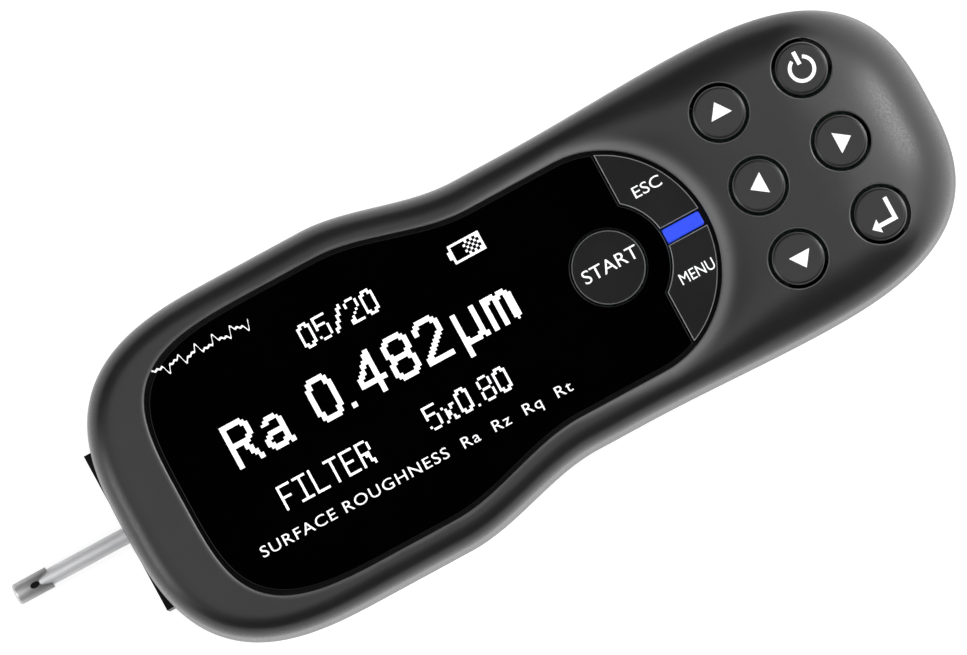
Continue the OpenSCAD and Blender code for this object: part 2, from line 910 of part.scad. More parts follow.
module float_spring() {
    color("silver")
    translate([carriage_front - arm_length + spring_x, 0, socket_top + spring_gap])
    difference() {
        cylinder(d = spring_size[0], h = arm_z[0] - socket_top - spring_gap);
        translate([0, 0, -over]) cylinder(d = spring_size[1], h = cut);
    }
}

// Pickup
module pickup_socket() {
    color([0.15, 0.15, 0.15])
    difference() {
        box([socket_front, -socket_half, pickup_axis - socket_drop],
            [pin_x + socket_tail, socket_half, socket_top]);
        translate([0, 0, pickup_axis])
        rod_x(socket_front - over, socket_front + plug_length + plug_end, socket_bore);
        translate([pin_x, 0, pin_z]) rod_y(cut, pin_size + 2 * running_gap);
    }
}

module pickup_plug() {
    color("goldenrod")
    translate([0, 0, pickup_axis])
    union() {
        rod_x(socket_front - plug_flange, socket_front, body_bore);
        rod_x(socket_front, socket_front + plug_length, socket_bore - plug_fit);
    }
}

module pickup_body() {
    color("silver")
    translate([0, 0, pickup_axis])
    difference() {
        rod_x(body_front, socket_front, pickup_size);
        rod_x(body_front + body_cap, socket_front + over, body_bore);
        rod_x(body_front - over, body_front + body_cap + over, tube_size);
        translate([pivot_x, 0, 0]) rod_y(cut, pivot_pin);
    }
}

module pickup_tube() {
    color("silver")
    translate([0, 0, pickup_axis])
    difference() {
        rod_x(x_nose + nose_bore, body_front + body_cap, tube_size);
        rod_x(x_nose, body_front + body_cap + over, tube_bore);
    }
}

module pickup_nose() {
    r = nose_width / 2;
    rear = x_nose + nose_length;
    profile = concat(nose_front, [[r, nose_edge], [r, nose_length], [0, nose_length]]);
    color("gray")
    difference() {
        union() {
            translate([x_nose, 0, pickup_axis]) rotate([0, 90, 0]) rotate_extrude() polygon(profile);
            translate([x_nose + skid_x, 0, skid_bottom + skid_size[0] / 2]) rod_y(skid_size[1], skid_size[0]);
        }
        translate([0, 0, pickup_axis]) rod_x(x_nose + nose_bore, rear + over, tube_size);
        translate([0, 0, pickup_axis]) rod_x(x_nose + nose_skin, x_nose + nose_bore + over, tube_bore);
        translate([stylus_x, 0, -over]) cylinder(d = stylus_hole, h = pickup_axis + over);
        translate([x_nose + eye_x, 0, pickup_axis])
        scale([eye_size[0] / eye_size[1], 1, 1]) cylinder(d = eye_size[1], h = cut);
        translate([0, 0, pickup_axis + notch_lift])
        linear_extrude(cut)
        polygon([[x_nose + notch_x, 0], [rear + over, r - notch_edge], [rear + over, notch_edge - r]]);
    }
}

module sensor_coils() {
    color("chocolate")
    translate([0, 0, pickup_axis])
    difference() {
        rod_x(pivot_x + coil_x[0], pivot_x + coil_x[1], body_bore);
        rod_x(pivot_x + coil_x[0] - over, pivot_x + coil_x[1] + over, coil_bore);
    }
}

module stylus_pivot_pin() {
    color("silver")
    translate([pivot_x, 0, pickup_axis]) rod_y(pickup_size - pivot_trim, pivot_pin);
}

module stylus_arm() {
    color("silver")
    translate([0, 0, pickup_axis])
    difference() {
        union() {
            rod_x(stylus_x - stylus_shank, pivot_x + armature_x[1], arm_size);
            translate([pivot_x, 0, 0]) rod_y(pivot_boss[1], pivot_boss[0]);
        }
        translate([pivot_x, 0, 0]) rod_y(cut, pivot_pin + 2 * running_gap);
        translate([stylus_x, 0, -over]) cylinder(d = stylus_shank, h = 2 * over);
    }
}

module stylus_tip() {
    shank_z = pickup_axis - arm_size / 2 - stylus_shank;
    color("black")
    translate([stylus_x, 0, 0]) {
        translate([0, 0, stylus_bottom])
        cylinder(d1 = stylus_point, d2 = stylus_shank, h = shank_z - stylus_bottom);
        translate([0, 0, shank_z]) cylinder(d = stylus_shank, h = arm_size + stylus_shank);
    }
}

module armature() {
    color("dimgray")
    translate([0, 0, pickup_axis])
    difference() {
        rod_x(pivot_x + armature_x[0], pivot_x + armature_x[1], armature_size);
        rod_x(pivot_x + armature_x[0] - over, pivot_x + armature_x[1] + over, arm_size);
    }
}

// Battery and charging socket
module battery_cell() {
    color("royalblue")
    translate([0, 0, cell_z])
    union() {
        rod_x(cell_front, cell_front + cell_length, cell_size);
        rod_x(cell_front + cell_length, cell_front + cell_length + cell_cap[1], cell_cap[0]);
    }
}

module battery_cradle() {
    half = cell_size / 2 + cradle_wall;
    color("black")
    difference() {
        box([cell_front + cradle_inset, -half, base_height],
            [cell_front + cell_length - cradle_inset, half, base_height + cradle_height]);
        translate([0, 0, cell_z]) rod_x(cell_front, cell_front + cell_length, cell_size);
    }
}

module usb_socket() {
    front = x_rear - usb_inset - usb_size[0];
    half = usb_size[1] / 2;
    color("silver")
    union() {
        difference() {
            box([front, -half, power_board_top], [front + usb_size[0], half, power_board_top + usb_size[2]]);
            box([front + usb_back, usb_shell - half, power_board_top + usb_shell],
                [front + cut, half - usb_shell, power_board_top + usb_size[2] - usb_shell]);
        }
        box([front + tongue_inset, -tongue_half, usb_z + tongue_z[0]],
            [front + usb_size[0] - tongue_inset, tongue_half, usb_z + tongue_z[1]]);
    }
}

module power_board() {
    color("darkgreen")
    box([base_rear + plate + power_board_inset[0], -power_board_half, power_board_z],
        [x_rear - power_board_inset[1], power_board_half, power_board_top]);
}

// Screws
module screw_z(length) {
    translate([0, 0, -screw_head[1]]) cylinder(d = screw_head[0], h = screw_head[1]);
    cylinder(d = screw_size - 2 * fit, h = length);
}

module housing_screws() {
    head_z = belly_height + head_depth;
    color("black")
    both_sides()
    for (p = boss_places)
        translate([p[0], p[1], head_z]) screw_z(seam_height + screw_bite - head_z);
}

module board_screws() {
    color("silver")
    both_sides()
    for (p = post_places)
        translate([p[0], p[1], board_bottom]) screw_z(board_thickness + board_bite);
}

module base_screws() {
    color("silver")
    both_sides()
    for (x = tab_places)
        translate([x, tab_screw_y, tab_z + tab_size[1]]) {
            cylinder(d = tab_screw_head[0], h = tab_screw_head[1]);
            translate([0, 0, -tab_size[1] - tab_screw_bite])
            cylinder(d = tab_screw - 2 * fit, h = tab_size[1] + tab_screw_bite);
        }
}

module end_screw_set() {
    both_sides()
    for (z = end_screw_z)
        translate([0, base_half - base_wall / 2, z]) {
            rod_x(0, end_screw_head[1], end_screw_head[0]);
            rod_x(end_screw_head[1], plate + end_screw_bite, end_screw - 2 * fit);
        }
}

module end_screws() {
    color("silver")
    union() {
        translate([x_front, 0, 0]) end_screw_set();
        translate([base_rear + plate, 0, 0]) mirror([1, 0, 0]) end_screw_set();
    }
}

upper_housing();
lower_housing();
display_lens();
oled_module();
oled_frame();
main_board();
key_switches();
light_bar();
drive_base();
base_cover();
front_plate();
base_end_plate();
motor_bracket();
gear_motor();
guide_rods();
rod_block();
limit_switches();
battery_cell();
battery_cradle();
usb_socket();
power_board();
housing_screws();
base_screws();
end_screws();
board_screws();
start_key();
esc_key();
menu_key();
up_key();
left_key();
down_key();
power_key();
right_key();
enter_key();
carriage_block();
lead_nut();
rod_bushes();
socket_pin();
float_spring();
lead_screw();
shaft_coupling();
pickup_socket();
pickup_plug();
pickup_body();
pickup_tube();
pickup_nose();
sensor_coils();
stylus_pivot_pin();
stylus_arm();
stylus_tip();
armature();
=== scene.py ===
# %% [markdown]
# # A surface roughness tester, dressed for its picture
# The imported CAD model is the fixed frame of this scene: every length below is in millimetres in that
# frame, and becomes metres only when a mesh is made. The CAD solids are right in size but coarse, so the
# pieces that the eye rests on are worked out again here as smooth numpy surfaces, from the same formulas.

import json
import math

import bmesh
import bpy
import numpy as np
from mathutils import Matrix, Vector
from mathutils.geometry import tessellate_polygon


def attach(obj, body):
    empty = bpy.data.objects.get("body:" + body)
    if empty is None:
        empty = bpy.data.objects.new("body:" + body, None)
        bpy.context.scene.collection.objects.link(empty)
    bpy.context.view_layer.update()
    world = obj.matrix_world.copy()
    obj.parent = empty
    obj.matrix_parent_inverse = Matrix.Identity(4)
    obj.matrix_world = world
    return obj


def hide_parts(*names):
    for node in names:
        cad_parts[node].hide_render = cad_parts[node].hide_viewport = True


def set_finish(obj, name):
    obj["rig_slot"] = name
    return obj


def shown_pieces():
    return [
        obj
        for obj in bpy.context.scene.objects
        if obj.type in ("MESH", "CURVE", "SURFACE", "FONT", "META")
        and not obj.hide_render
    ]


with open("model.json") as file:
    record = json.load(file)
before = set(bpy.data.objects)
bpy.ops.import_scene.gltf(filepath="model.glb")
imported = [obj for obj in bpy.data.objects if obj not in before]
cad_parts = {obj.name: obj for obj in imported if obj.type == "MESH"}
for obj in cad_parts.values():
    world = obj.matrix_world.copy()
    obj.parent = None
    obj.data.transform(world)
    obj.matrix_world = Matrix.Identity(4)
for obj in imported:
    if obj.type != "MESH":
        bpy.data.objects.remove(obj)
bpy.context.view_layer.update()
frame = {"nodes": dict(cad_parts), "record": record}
MM = 0.001

# %% [markdown]
# ## The camera
# The photograph looks almost straight down on the tester from far away, with the tester turned so that
# its keypad points to the upper right. A very long lens, metres away, gives the same flat perspective.
# The camera's three axes are worked out as vectors, which is easier to check than three turning angles.

# %% Camera
VIEW_TURN = math.radians(28.5)
VIEW_TILT = math.radians(1.08)
VIEW_CENTRE = Vector((3.2, 1.29, 36)) * MM
VIEW_WIDTH = 146.35 * MM
VIEW_DISTANCE = 4.5
SENSOR = 36

view_back = Vector((0, -math.sin(VIEW_TILT), math.cos(VIEW_TILT)))
view_right = Vector((math.cos(VIEW_TURN), -math.sin(VIEW_TURN), 0))
view_right = (view_right - view_back * view_right.dot(view_back)).normalized()
view_up = view_back.cross(view_right)
camera = bpy.data.objects.new("camera", bpy.data.cameras.new("camera"))
camera.data.sensor_width = SENSOR
camera.data.lens = SENSOR * VIEW_DISTANCE / VIEW_WIDTH
camera.data.clip_end = 20
camera.matrix_world = (
    Matrix.Translation(VIEW_CENTRE + view_back * VIEW_DISTANCE)
    @ Matrix((view_right, view_up, view_back)).transposed().to_4x4()
)
bpy.context.scene.collection.objects.link(camera)
bpy.context.scene.camera = camera
bpy.context.scene.view_settings.view_transform = "Standard"
print("camera: lens", round(camera.data.lens), "mm")

# %% [markdown]
# ## Small helpers for meshes
# A ring is a closed row of points. Rings stacked on each other make a skin, and two caps, or joining the
# last ring back to the first, make it a closed solid. Whole arrays go through numpy, and Blender gets
# them at the end.

# %% Mesh helpers
def ring_faces(rows, columns, joined=False):
    """Quads between stacked rings: a point, its neighbour in the ring and the two on the next ring."""
    last = rows if joined else rows - 1
    row, column = np.meshgrid(np.arange(last), np.arange(columns), indexing="ij")
    here, above = row * columns, ((row + 1) % rows) * columns
    beside = (column + 1) % columns
    return np.stack([here + column, here + beside, above + beside, above + column], -1).reshape(-1, 4)


def cap_faces(loops, starts):
    """Triangles that fill a flat loop, less the loops that follow, numbered from each loop's start."""
    flat = [[Vector(p) for p in loop] for loop in loops]
    index = np.concatenate([start + np.arange(len(loop)) for loop, start in zip(loops, starts)])
    return index[np.array(tessellate_polygon(flat))]


def new_piece(name, points, faces, sharp=35):
    """A mesh at the origin from points in millimetres, faces outwards, smooth below the sharp angle."""
    mesh = bpy.data.meshes.new(name)
    mesh.from_pydata((np.asarray(points, float) * MM).tolist(), [], [f.tolist() for f in faces])
    close_up(mesh)
    return placed_piece(name, mesh, sharp)


def close_up(mesh):
    """Merges doubled points and turns the faces outwards."""
    work = bmesh.new()
    work.from_mesh(mesh)
    bmesh.ops.remove_doubles(work, verts=work.verts, dist=1e-7)
    bmesh.ops.recalc_face_normals(work, faces=work.faces)
    work.to_mesh(mesh)
    work.free()


def placed_piece(name, mesh, sharp):
    """Puts a mesh into the scene, smooth but for the edges that bend more than the sharp angle."""
    mesh.shade_smooth()
    mesh.set_sharp_from_angle(angle=math.radians(sharp))
    piece = bpy.data.objects.new(name, mesh)
    bpy.context.scene.collection.objects.link(piece)
    return piece


def stacked(name, rings, joined=False, sharp=35):
    """A solid through rings of equal length: capped at both ends, or joined from last to first."""
    rings = np.asarray(rings, float)
    rows, columns = rings.shape[:2]
    faces = list(ring_faces(rows, columns, joined))
    if not joined:
        faces += list(cap_faces([rings[0]], [0])) + list(cap_faces([rings[-1]], [(rows - 1) * columns]))
    return new_piece(name, rings.reshape(-1, 3), faces, sharp)


def full_turn(count):
    """Angles of count points round a circle."""
    return np.linspace(0, 2 * np.pi, count, endpoint=False)


def circle_loop(radius, count, centre=(0, 0)):
    """A circle of count points about a centre."""
    a = full_turn(count)
    return np.column_stack([np.cos(a), np.sin(a)]) * radius + np.asarray(centre, float)


def turned(name, profile, centre=(0, 0, 0), axis="z", count=96, joined=False, sharp=35):
    """A turned piece: each (radius, height) of the profile is a circle about the axis through centre."""
    radius, height = np.asarray(profile, float).T
    a = full_turn(count)
    across = np.stack([radius[:, None] * np.cos(a), radius[:, None] * np.sin(a)], -1)
    along = np.broadcast_to(height[:, None, None], across.shape[:2] + (1,))
    order = {"z": (0, 1, 2), "x": (2, 0, 1), "y": (1, 2, 0)}[axis]
    rings = np.concatenate([across, along], -1)[..., order] + np.asarray(centre, float)
    return stacked(name, rings, joined, sharp)


def carve(piece, *cutters, sharp=35):
    """Takes the cutters' shapes out of the piece for good, and removes them."""
    for cutter in cutters:
        cut = piece.modifiers.new("cut", "BOOLEAN")
        cut.operation, cut.solver, cut.object = "DIFFERENCE", "MANIFOLD", cutter
    graph = bpy.context.evaluated_depsgraph_get()
    mesh = bpy.data.meshes.new_from_object(piece.evaluated_get(graph))
    name = piece.name
    for old in (piece, *cutters):
        bpy.data.objects.remove(old)
    return placed_piece(name, mesh, sharp)


def block(name, low, high):
    """A box between two corners, as two square rings."""
    (x0, y0, z0), (x1, y1, z1) = low, high
    square = np.array([[x0, y0], [x1, y0], [x1, y1], [x0, y1]])
    rings = [np.column_stack([square, np.full(4, z)]) for z in (z0, z1)]
    return stacked(name, rings)


def arc(start, end, count):
    """Angles in radians between two angles in degrees."""
    return np.radians(np.linspace(start, end, count))


def points_of(piece):
    """All points of a piece in millimetres."""
    co = np.empty(len(piece.data.vertices) * 3, np.float32)
    piece.data.vertices.foreach_get("co", co)
    return co.reshape(-1, 3) / MM


def face_layout(piece):
    """Centres in millimetres and normals of all faces of a piece."""
    count = len(piece.data.polygons)
    centre, normal = np.empty(count * 3, np.float32), np.empty(count * 3, np.float32)
    piece.data.polygons.foreach_get("center", centre)
    piece.data.polygons.foreach_get("normal", normal)
    return centre.reshape(-1, 3) / MM, normal.reshape(-1, 3)


def mark_rim(piece, amount):
    """Writes down, from 0 to 1, how much each point takes the lighter rim colour, for the finishes to read: a
    painted highlight on the cover and the keys, a paler front on the pickup's nose.
    """
    layer = piece.data.attributes.new("rim", "FLOAT", "POINT")
    layer.data.foreach_set("value", np.asarray(amount, np.float32))


def dress(piece, body, slot_name, node=None):
    """Gives a piece its body and its finish, and hides the CAD node that it replaces, if there is one."""
    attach(piece, body)
    if node:
        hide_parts(node)
    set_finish(piece, slot_name)
    return piece


# %% [markdown]
# ## The form of the housing
# Seen from above the housing is a rounded head, a waist and a rounded tail. Both ends are superellipses,
# which stay flatter than a circle and turn faster at the corners, and the flanks between them follow a
# smooth step. The same functions as in the CAD source are used, only with many more points.

# %% Outline, deck and rolls
BODY_FRONT, BODY_REAR = -59.5, 79.0
HEAD_WIDTH, WAIST_WIDTH, TAIL_WIDTH = 55.0, 46.3, 47.8
FRONT_ROUND, REAR_ROUND = 30.0, 33.0
FRONT_POWER, REAR_POWER, ROLL_POWER = 2.93, 2.85, 2.5
START_X = BODY_REAR - 54.9
WAIST_X, WAIST_RUN = START_X - 26.6, 24.0
TAIL_LEAD, TAIL_RUN = 6.0, 24.0
SPINE = (BODY_FRONT + FRONT_ROUND, BODY_REAR - REAR_ROUND)
DECK_Z, HUMP_RISE, HUMP_RUN = 50.0, 1.7, 10.0
SEAM_Z, SEAM_BEVEL, BELLY_Z = 27.0, 0.35, 9.0
WALL, ROOF, WINDOW_ROOF, DRAFT = 2.2, 2.4, 4.4, 0.5
DISPLAY_ROLL, KEYPAD_ROLL, REAR_ROLL = (np.array(v, float) for v in ((4.2, 6), (11, 8), (20, 20)))
KEYPAD_ROLL_RUN, REAR_ROLL_RUN = 26.0, 14.0
BELLY_ROLL = (5.0, 8.0)
WINDOW_FRONT, WINDOW_END = BODY_FRONT + 10.3, 16.9
WINDOW_WIDTH, WINDOW_TAIL = 45.0, 35.7
WINDOW_ROUND, WINDOW_POWER = 26.0, 3.7
END_POINTS, MIDDLE_POINTS, FINE_POINTS = 64, 72, 4000
WINDOW_SIDE = (-25.0, 26.0)
NEAR_SPINE = 0.05


def smooth(low, high, v):
    """Smooth step from 0 at low to 1 at high."""
    t = np.clip((v - low) / (high - low), 0, 1)
    return t * t * (3 - 2 * t)


def flank(x):
    """Half width between the ends: the head's gives way to the waist's, and swells to the tail's."""
    step = smooth(WAIST_X - WAIST_RUN / 2, WAIST_X + WAIST_RUN / 2, x)
    swell = smooth(START_X - TAIL_LEAD, START_X + TAIL_RUN, x)
    return (HEAD_WIDTH + (WAIST_WIDTH - HEAD_WIDTH) * step + (TAIL_WIDTH - WAIST_WIDTH) * swell) / 2


def evened(x, y, count):
    """The same curve through count points at equal distances along it."""
    run = np.concatenate([[0], np.cumsum(np.hypot(np.diff(x), np.diff(y)))])
    at = np.linspace(0, run[-1], count)
    return np.column_stack([np.interp(at, run, x), np.interp(at, run, y)])


def mirrored(half):
    """A closed ring from its upper half: the tips stay single and the rest is repeated below."""
    return np.concatenate([half, half[-2:0:-1] * [1, -1]])


def housing_outline():
    """The outline: x runs in from each tip by cos^(2/p), and y is the flank times sin^(2/p). Its points
    are shared out so that those beside the window's own corners have the same numbers."""
    a = arc(0, 90, FINE_POINTS)
    front_x = BODY_FRONT + FRONT_ROUND * (1 - np.cos(a) ** (2 / FRONT_POWER))
    rear_x = (BODY_REAR - REAR_ROUND * (1 - np.cos(a) ** (2 / REAR_POWER)))[::-1]
    middle_x = np.linspace(*SPINE, FINE_POINTS)[1:-1]
    x = np.concatenate([front_x, middle_x, rear_x])
    rear_bend = np.sin(a[::-1]) ** (2 / REAR_POWER)
    bend = np.concatenate([np.sin(a) ** (2 / FRONT_POWER), np.ones(len(middle_x)), rear_bend])
    y = flank(x) * bend
    first, last = np.searchsorted(x, WINDOW_SIDE)
    front = evened(x[: first + 1], y[: first + 1], END_POINTS)
    middle = evened(x[first : last + 1], y[first : last + 1], MIDDLE_POINTS)[1:-1]
    return mirrored(np.concatenate([front, middle, evened(x[last:], y[last:], END_POINTS)]))


def window_outline(gap):
    """The window, drawn in by a gap: a superellipse front, flanks along the waist and a round end."""
    def half_width(x):
        step = smooth(WAIST_X - WAIST_RUN / 2, WAIST_X + WAIST_RUN / 2, x)
        return (WINDOW_WIDTH + (WINDOW_TAIL - WINDOW_WIDTH) * step) / 2 - gap

    a = arc(0, 90, FINE_POINTS)
    front_x = WINDOW_FRONT + gap + WINDOW_ROUND * (1 - np.cos(a) ** (2 / WINDOW_POWER))
    front = evened(front_x, half_width(front_x) * np.sin(a) ** (2 / WINDOW_POWER), END_POINTS)
    middle_x = np.linspace(WINDOW_FRONT + gap + WINDOW_ROUND, START_X, MIDDLE_POINTS)[1:-1]
    rear = np.column_stack([
        START_X + (WINDOW_END - gap) * np.cos(REAR_ANGLES), (WINDOW_TAIL / 2 - gap) * np.sin(REAR_ANGLES)
    ])
    return mirrored(np.concatenate([front, np.column_stack([middle_x, half_width(middle_x)]), rear]))


OUTLINE = housing_outline()


def spine(p):
    """The nearest point of the middle line between the two rounded ends."""
    return np.column_stack([np.clip(p[:, 0], *SPINE), np.zeros(len(p))])


def inward(distance):
    """The outline moved towards the spine by a distance, which may differ from point to point."""
    foot = spine(OUTLINE)
    v = OUTLINE - foot
    return foot + v * (1 - np.asarray(distance) / np.linalg.norm(v, axis=1))[:, None]


def hump(q):
    """Share of the crown's rise: none at the display, all of it HUMP_RUN behind the window's end."""
    v = q - [START_X, 0]
    r = np.maximum(np.linalg.norm(v, axis=1), 1)
    t = np.clip((r - WINDOW_END) / HUMP_RUN, 0, 1)
    return (1 - (1 - t) ** 2) * smooth(0.1, 0.8, v[:, 0] / r)


def crown(q):
    """Height of the deck over a point."""
    return DECK_Z + HUMP_RISE * hump(q)


def roof_thickness(q):
    """Thickness of the roof: more round the window, where the lens has its ledge."""
    return WINDOW_ROOF + (ROOF - WINDOW_ROOF) * hump(q)


def roll(x):
    """Width and height of the roll from wall to deck: tight at the display, wide at the keypad's end."""
    keypad = smooth(START_X, START_X + KEYPAD_ROLL_RUN, x)[:, None]
    rear = smooth(BODY_REAR - REAR_ROLL_RUN, BODY_REAR, x)[:, None]
    return DISPLAY_ROLL + (KEYPAD_ROLL - DISPLAY_ROLL) * keypad + (REAR_ROLL - KEYPAD_ROLL) * rear


def lifted(q, z):
    """Flat points with a height each."""
    return np.column_stack([q, np.broadcast_to(z, len(q))])


def roll_ring(angle, inset=0.0, inner=False):
    """A ring on the roll: in by width (1 - cos^(2/p)), and down by height (1 - sin^(2/p))."""
    size = roll(OUTLINE[:, 0])
    c, s = (max(f(math.radians(angle)), 0) ** (2 / ROLL_POWER) for f in (math.cos, math.sin))
    q = inward(inset + DRAFT + size[:, 0] * (1 - c))
    top = crown(q) - (roof_thickness(q) if inner else 0)
    return lifted(q, top - size[:, 1] * (1 - s))


def skin_z(q):
    """Height of the skin over points of the keypad, by the roll that the ray from the spine meets."""
    foot = spine(q)
    v = np.where(np.abs(q - foot) < NEAR_SPINE, NEAR_SPINE, q - foot)
    share = (np.abs(v[:, 0]) / REAR_ROUND) ** REAR_POWER + (np.abs(v[:, 1]) / flank(q[:, 0])) ** REAR_POWER
    k = np.maximum(share, 1e-9) ** (-1 / REAR_POWER)
    size = roll((foot + v * k[:, None])[:, 0])
    depth = np.clip(1 - (np.linalg.norm(v, axis=1) * (k - 1) - DRAFT) / size[:, 0], 0, 1)
    return crown(q) - size[:, 1] * (1 - (1 - depth ** ROLL_POWER) ** (1 / ROLL_POWER))


def rear_angles():
    """Directions from the start key to the points where the keypad's deck meets the roll, from the side
    to the rear. The window's round end has its points in the same directions, so the grid between them
    never folds."""
    edge = roll_ring(90)[END_POINTS + MIDDLE_POINTS - 2 :][:END_POINTS, :2] - [START_X, 0]
    direction = np.abs(np.arctan2(edge[:, 1], edge[:, 0]))
    return direction * (np.pi / 2 / direction[0])


REAR_ANGLES = rear_angles()
print("outline:", len(OUTLINE), "points")

# %% [markdown]
# ## The upper shell
# The grey cover is one moulding with a soft-touch coat. It could be cut from a block with booleans, but
# then the shading round the window would depend on slivers. Here the rings run from the seam up the
# inside, round the window's ledge and its rounded lip, over the deck and down the outer roll, so the
# window is part of the grid. Only the six key holes are cut, with cutters whose rounded mouths follow the
# skin.

# %% Upper shell
LENS_TOP, LENS_BOTTOM, LENS_LEDGE = 49.4, 47.4, 2.0
LIP = 0.24
KEY_COLUMNS, KEY_ROW = (49.9, 64.0), 12.5
KEY_HOLE, KEY_MOUTH = 4.55, 0.3
KEY_HOLE_BOTTOM = 45.8
# Painted highlight along the window's lip: its width at the front and at the round end, how far it moves back
# from the lip towards the round end, and how far below the deck it reaches.
LIP_HIGHLIGHT_WIDTH, LIP_HIGHLIGHT_SHIFT, LIP_HIGHLIGHT_DEPTH = (0.35, 1.15), 0.65, 0.192
# The first value below is the span outside each key hole that takes a thin ring of painted highlight, above
# the keypad's lowest height.
MOUTH_HIGHLIGHT, KEYPAD_LOW = (0.006, 0.18), DECK_Z - 2
LEVEL, STEEP, DOWN = 0.95, 0.3, -0.5
LIP_RINGS, DECK_RINGS, DECK_GATHER, ROLL_RINGS = 9, 32, 1.4, 28
MOUTH_END, MOUTH_RINGS, SHELL_SHARP = 72, 7, 14
KEY_SPOTS = [(x, y) for x in KEY_COLUMNS for y in (-KEY_ROW, 0, KEY_ROW)]


def upper_rings():
    """Rings of the cover, from the inner edge of the seam round to its outer edge."""
    roof_edge = roll_ring(90, WALL, True)[:, :2]
    ledge = window_outline(LENS_LEDGE)
    rings = [lifted(inward(WALL), SEAM_Z)] + [roll_ring(a, WALL, True) for a in (0, 15, 30, 45, 60, 75, 90)]
    for t in (0.25, 0.5, 0.75, 1.0):
        q = roof_edge + (ledge - roof_edge) * t
        rings.append(lifted(q, crown(q) - roof_thickness(q)))
    rings += [lifted(ledge, LENS_BOTTOM), lifted(window_outline(0), LENS_BOTTOM)]
    for a in arc(0, 90, LIP_RINGS):
        q = window_outline(LIP * (math.cos(a) - 1))
        rings.append(lifted(q, crown(q) - LIP + LIP * math.sin(a)))
    lip_edge, deck_edge = rings[-1][:, :2], roll_ring(90)[:, :2]
    for t in np.linspace(0, 1, DECK_RINGS)[1:-1] ** DECK_GATHER:
        q = lip_edge + (deck_edge - lip_edge) * t
        rings.append(lifted(q, crown(q)))
    rings += [roll_ring(a) for a in np.linspace(90, 0, ROLL_RINGS)]
    return rings + [lifted(OUTLINE, SEAM_Z + SEAM_BEVEL), lifted(inward(SEAM_BEVEL), SEAM_Z)]


def key_hole_cutter(x, y):
    """A round cutter with a flared mouth: its wall rises to the skin and bends outwards along it."""
    wheel = circle_loop(1, 128)
    rings = [lifted(wheel * KEY_HOLE + [x, y], KEY_HOLE_BOTTOM)]
    for t in arc(0, MOUTH_END, MOUTH_RINGS):
        q = wheel * (KEY_HOLE + KEY_MOUTH * (1 - math.cos(t))) + [x, y]
        rings.append(lifted(q, skin_z(q) - KEY_MOUTH + KEY_MOUTH * math.sin(t)))
    rim = wheel * (KEY_HOLE + KEY_MOUTH * 1.1) + [x, y]
    rings += [lifted(rim, skin_z(rim) + 0.1), lifted(rim, DECK_Z + 4)]
    return stacked("key_hole_cutter", rings)


upper_shell = stacked("upper_shell", upper_rings(), joined=True)
upper_shell = carve(upper_shell, *(key_hole_cutter(x, y) for x, y in KEY_SPOTS), sharp=SHELL_SHARP)
# Painted highlight on the cover: a band along the window's lip, narrow at the front and wider and set back
# towards the round end, takes a lighter coat colour that stands in for the light the lip catches.
shell_points = points_of(upper_shell)
window = window_outline(0)
plan = shell_points[:, :2]
square_gap = (plan**2).sum(1)[:, None] + (window**2).sum(1) - 2 * plan @ window.T
from_window = np.sqrt(np.maximum(square_gap.min(1), 0))
tail = smooth(0, START_X + WINDOW_END, shell_points[:, 0])
highlight_band = LIP_HIGHLIGHT_WIDTH[0] + (LIP_HIGHLIGHT_WIDTH[1] - LIP_HIGHLIGHT_WIDTH[0]) * tail
rim = np.exp(-(((from_window - LIP_HIGHLIGHT_SHIFT * tail) / highlight_band) ** 2)) * (shell_points[:, 2] > DECK_Z - LIP_HIGHLIGHT_DEPTH)


def key_distance(points):
    """Distance in plan from the nearest key's centre."""
    return np.linalg.norm(points[:, None, :2] - np.array(KEY_SPOTS), axis=-1).min(1)


# Painted highlight: a thin ring just outside each key hole's mouth takes the same lighter colour.
mouth = key_distance(shell_points) - KEY_HOLE
on_mouth = (mouth > MOUTH_HIGHLIGHT[0]) & (mouth < MOUTH_HIGHLIGHT[1]) & (shell_points[:, 2] > KEYPAD_LOW)
mark_rim(upper_shell, np.maximum(rim, on_mouth))
dress(upper_shell, "housing", "soft_grey_shell", "upper_housing")


def bare_and_painted_shade_faces(piece):
    """Faces in black plastic: those without the soft coat, that look down, or inwards below the lip, and the
    key holes; and, as painted shade, the pocket floor round the lens, which keeps the gap round the lens
    dark.
    """
    centre, normal = face_layout(piece)
    outward = ((centre[:, :2] - spine(centre)) * normal[:, :2]).sum(1)
    height, up = centre[:, 2], normal[:, 2]
    inner = (outward < 0) & (height < DECK_Z - LIP) & (up < LEVEL)
    # Painted shade: the pocket floor, seen in the gap round the lens, is made black.
    ledge = (up > LEVEL) & (height < LENS_BOTTOM + 0.01) & (centre[:, 0] < START_X + WINDOW_END)
    hole = (key_distance(centre) < KEY_HOLE + 0.02) & (np.abs(up) < STEEP)
    return inner | ledge | hole | (up < DOWN)


print("upper shell:", len(upper_shell.data.polygons), "faces")

# %% [markdown]
# ## The lower shell
# The black tray below the seam is a bowl with the same outline. Its rings run from the middle of the
# belly out and up to the seam, and down again inside. The slot for the drive base, the charging opening
# and the four screw recesses are cut out afterwards, because they have nothing to do with the bowl's own
# lines.

# %% Lower shell
BASE_FRONT, BASE_REAR = -57.5, 60.0
BASE_HALF, BASE_TOP, BASE_GAP, PLATE = 13.3, 22.0, 0.2, 2.0
USB_Z, USB_HALF = 21.0, (4.25, 2.35)
BOSSES = ((-46.0, 20.3), (57.0, 18.2))
RECESS, RECESS_TOP, SCREW_HOLE = 2.2, 15.0, 1.2


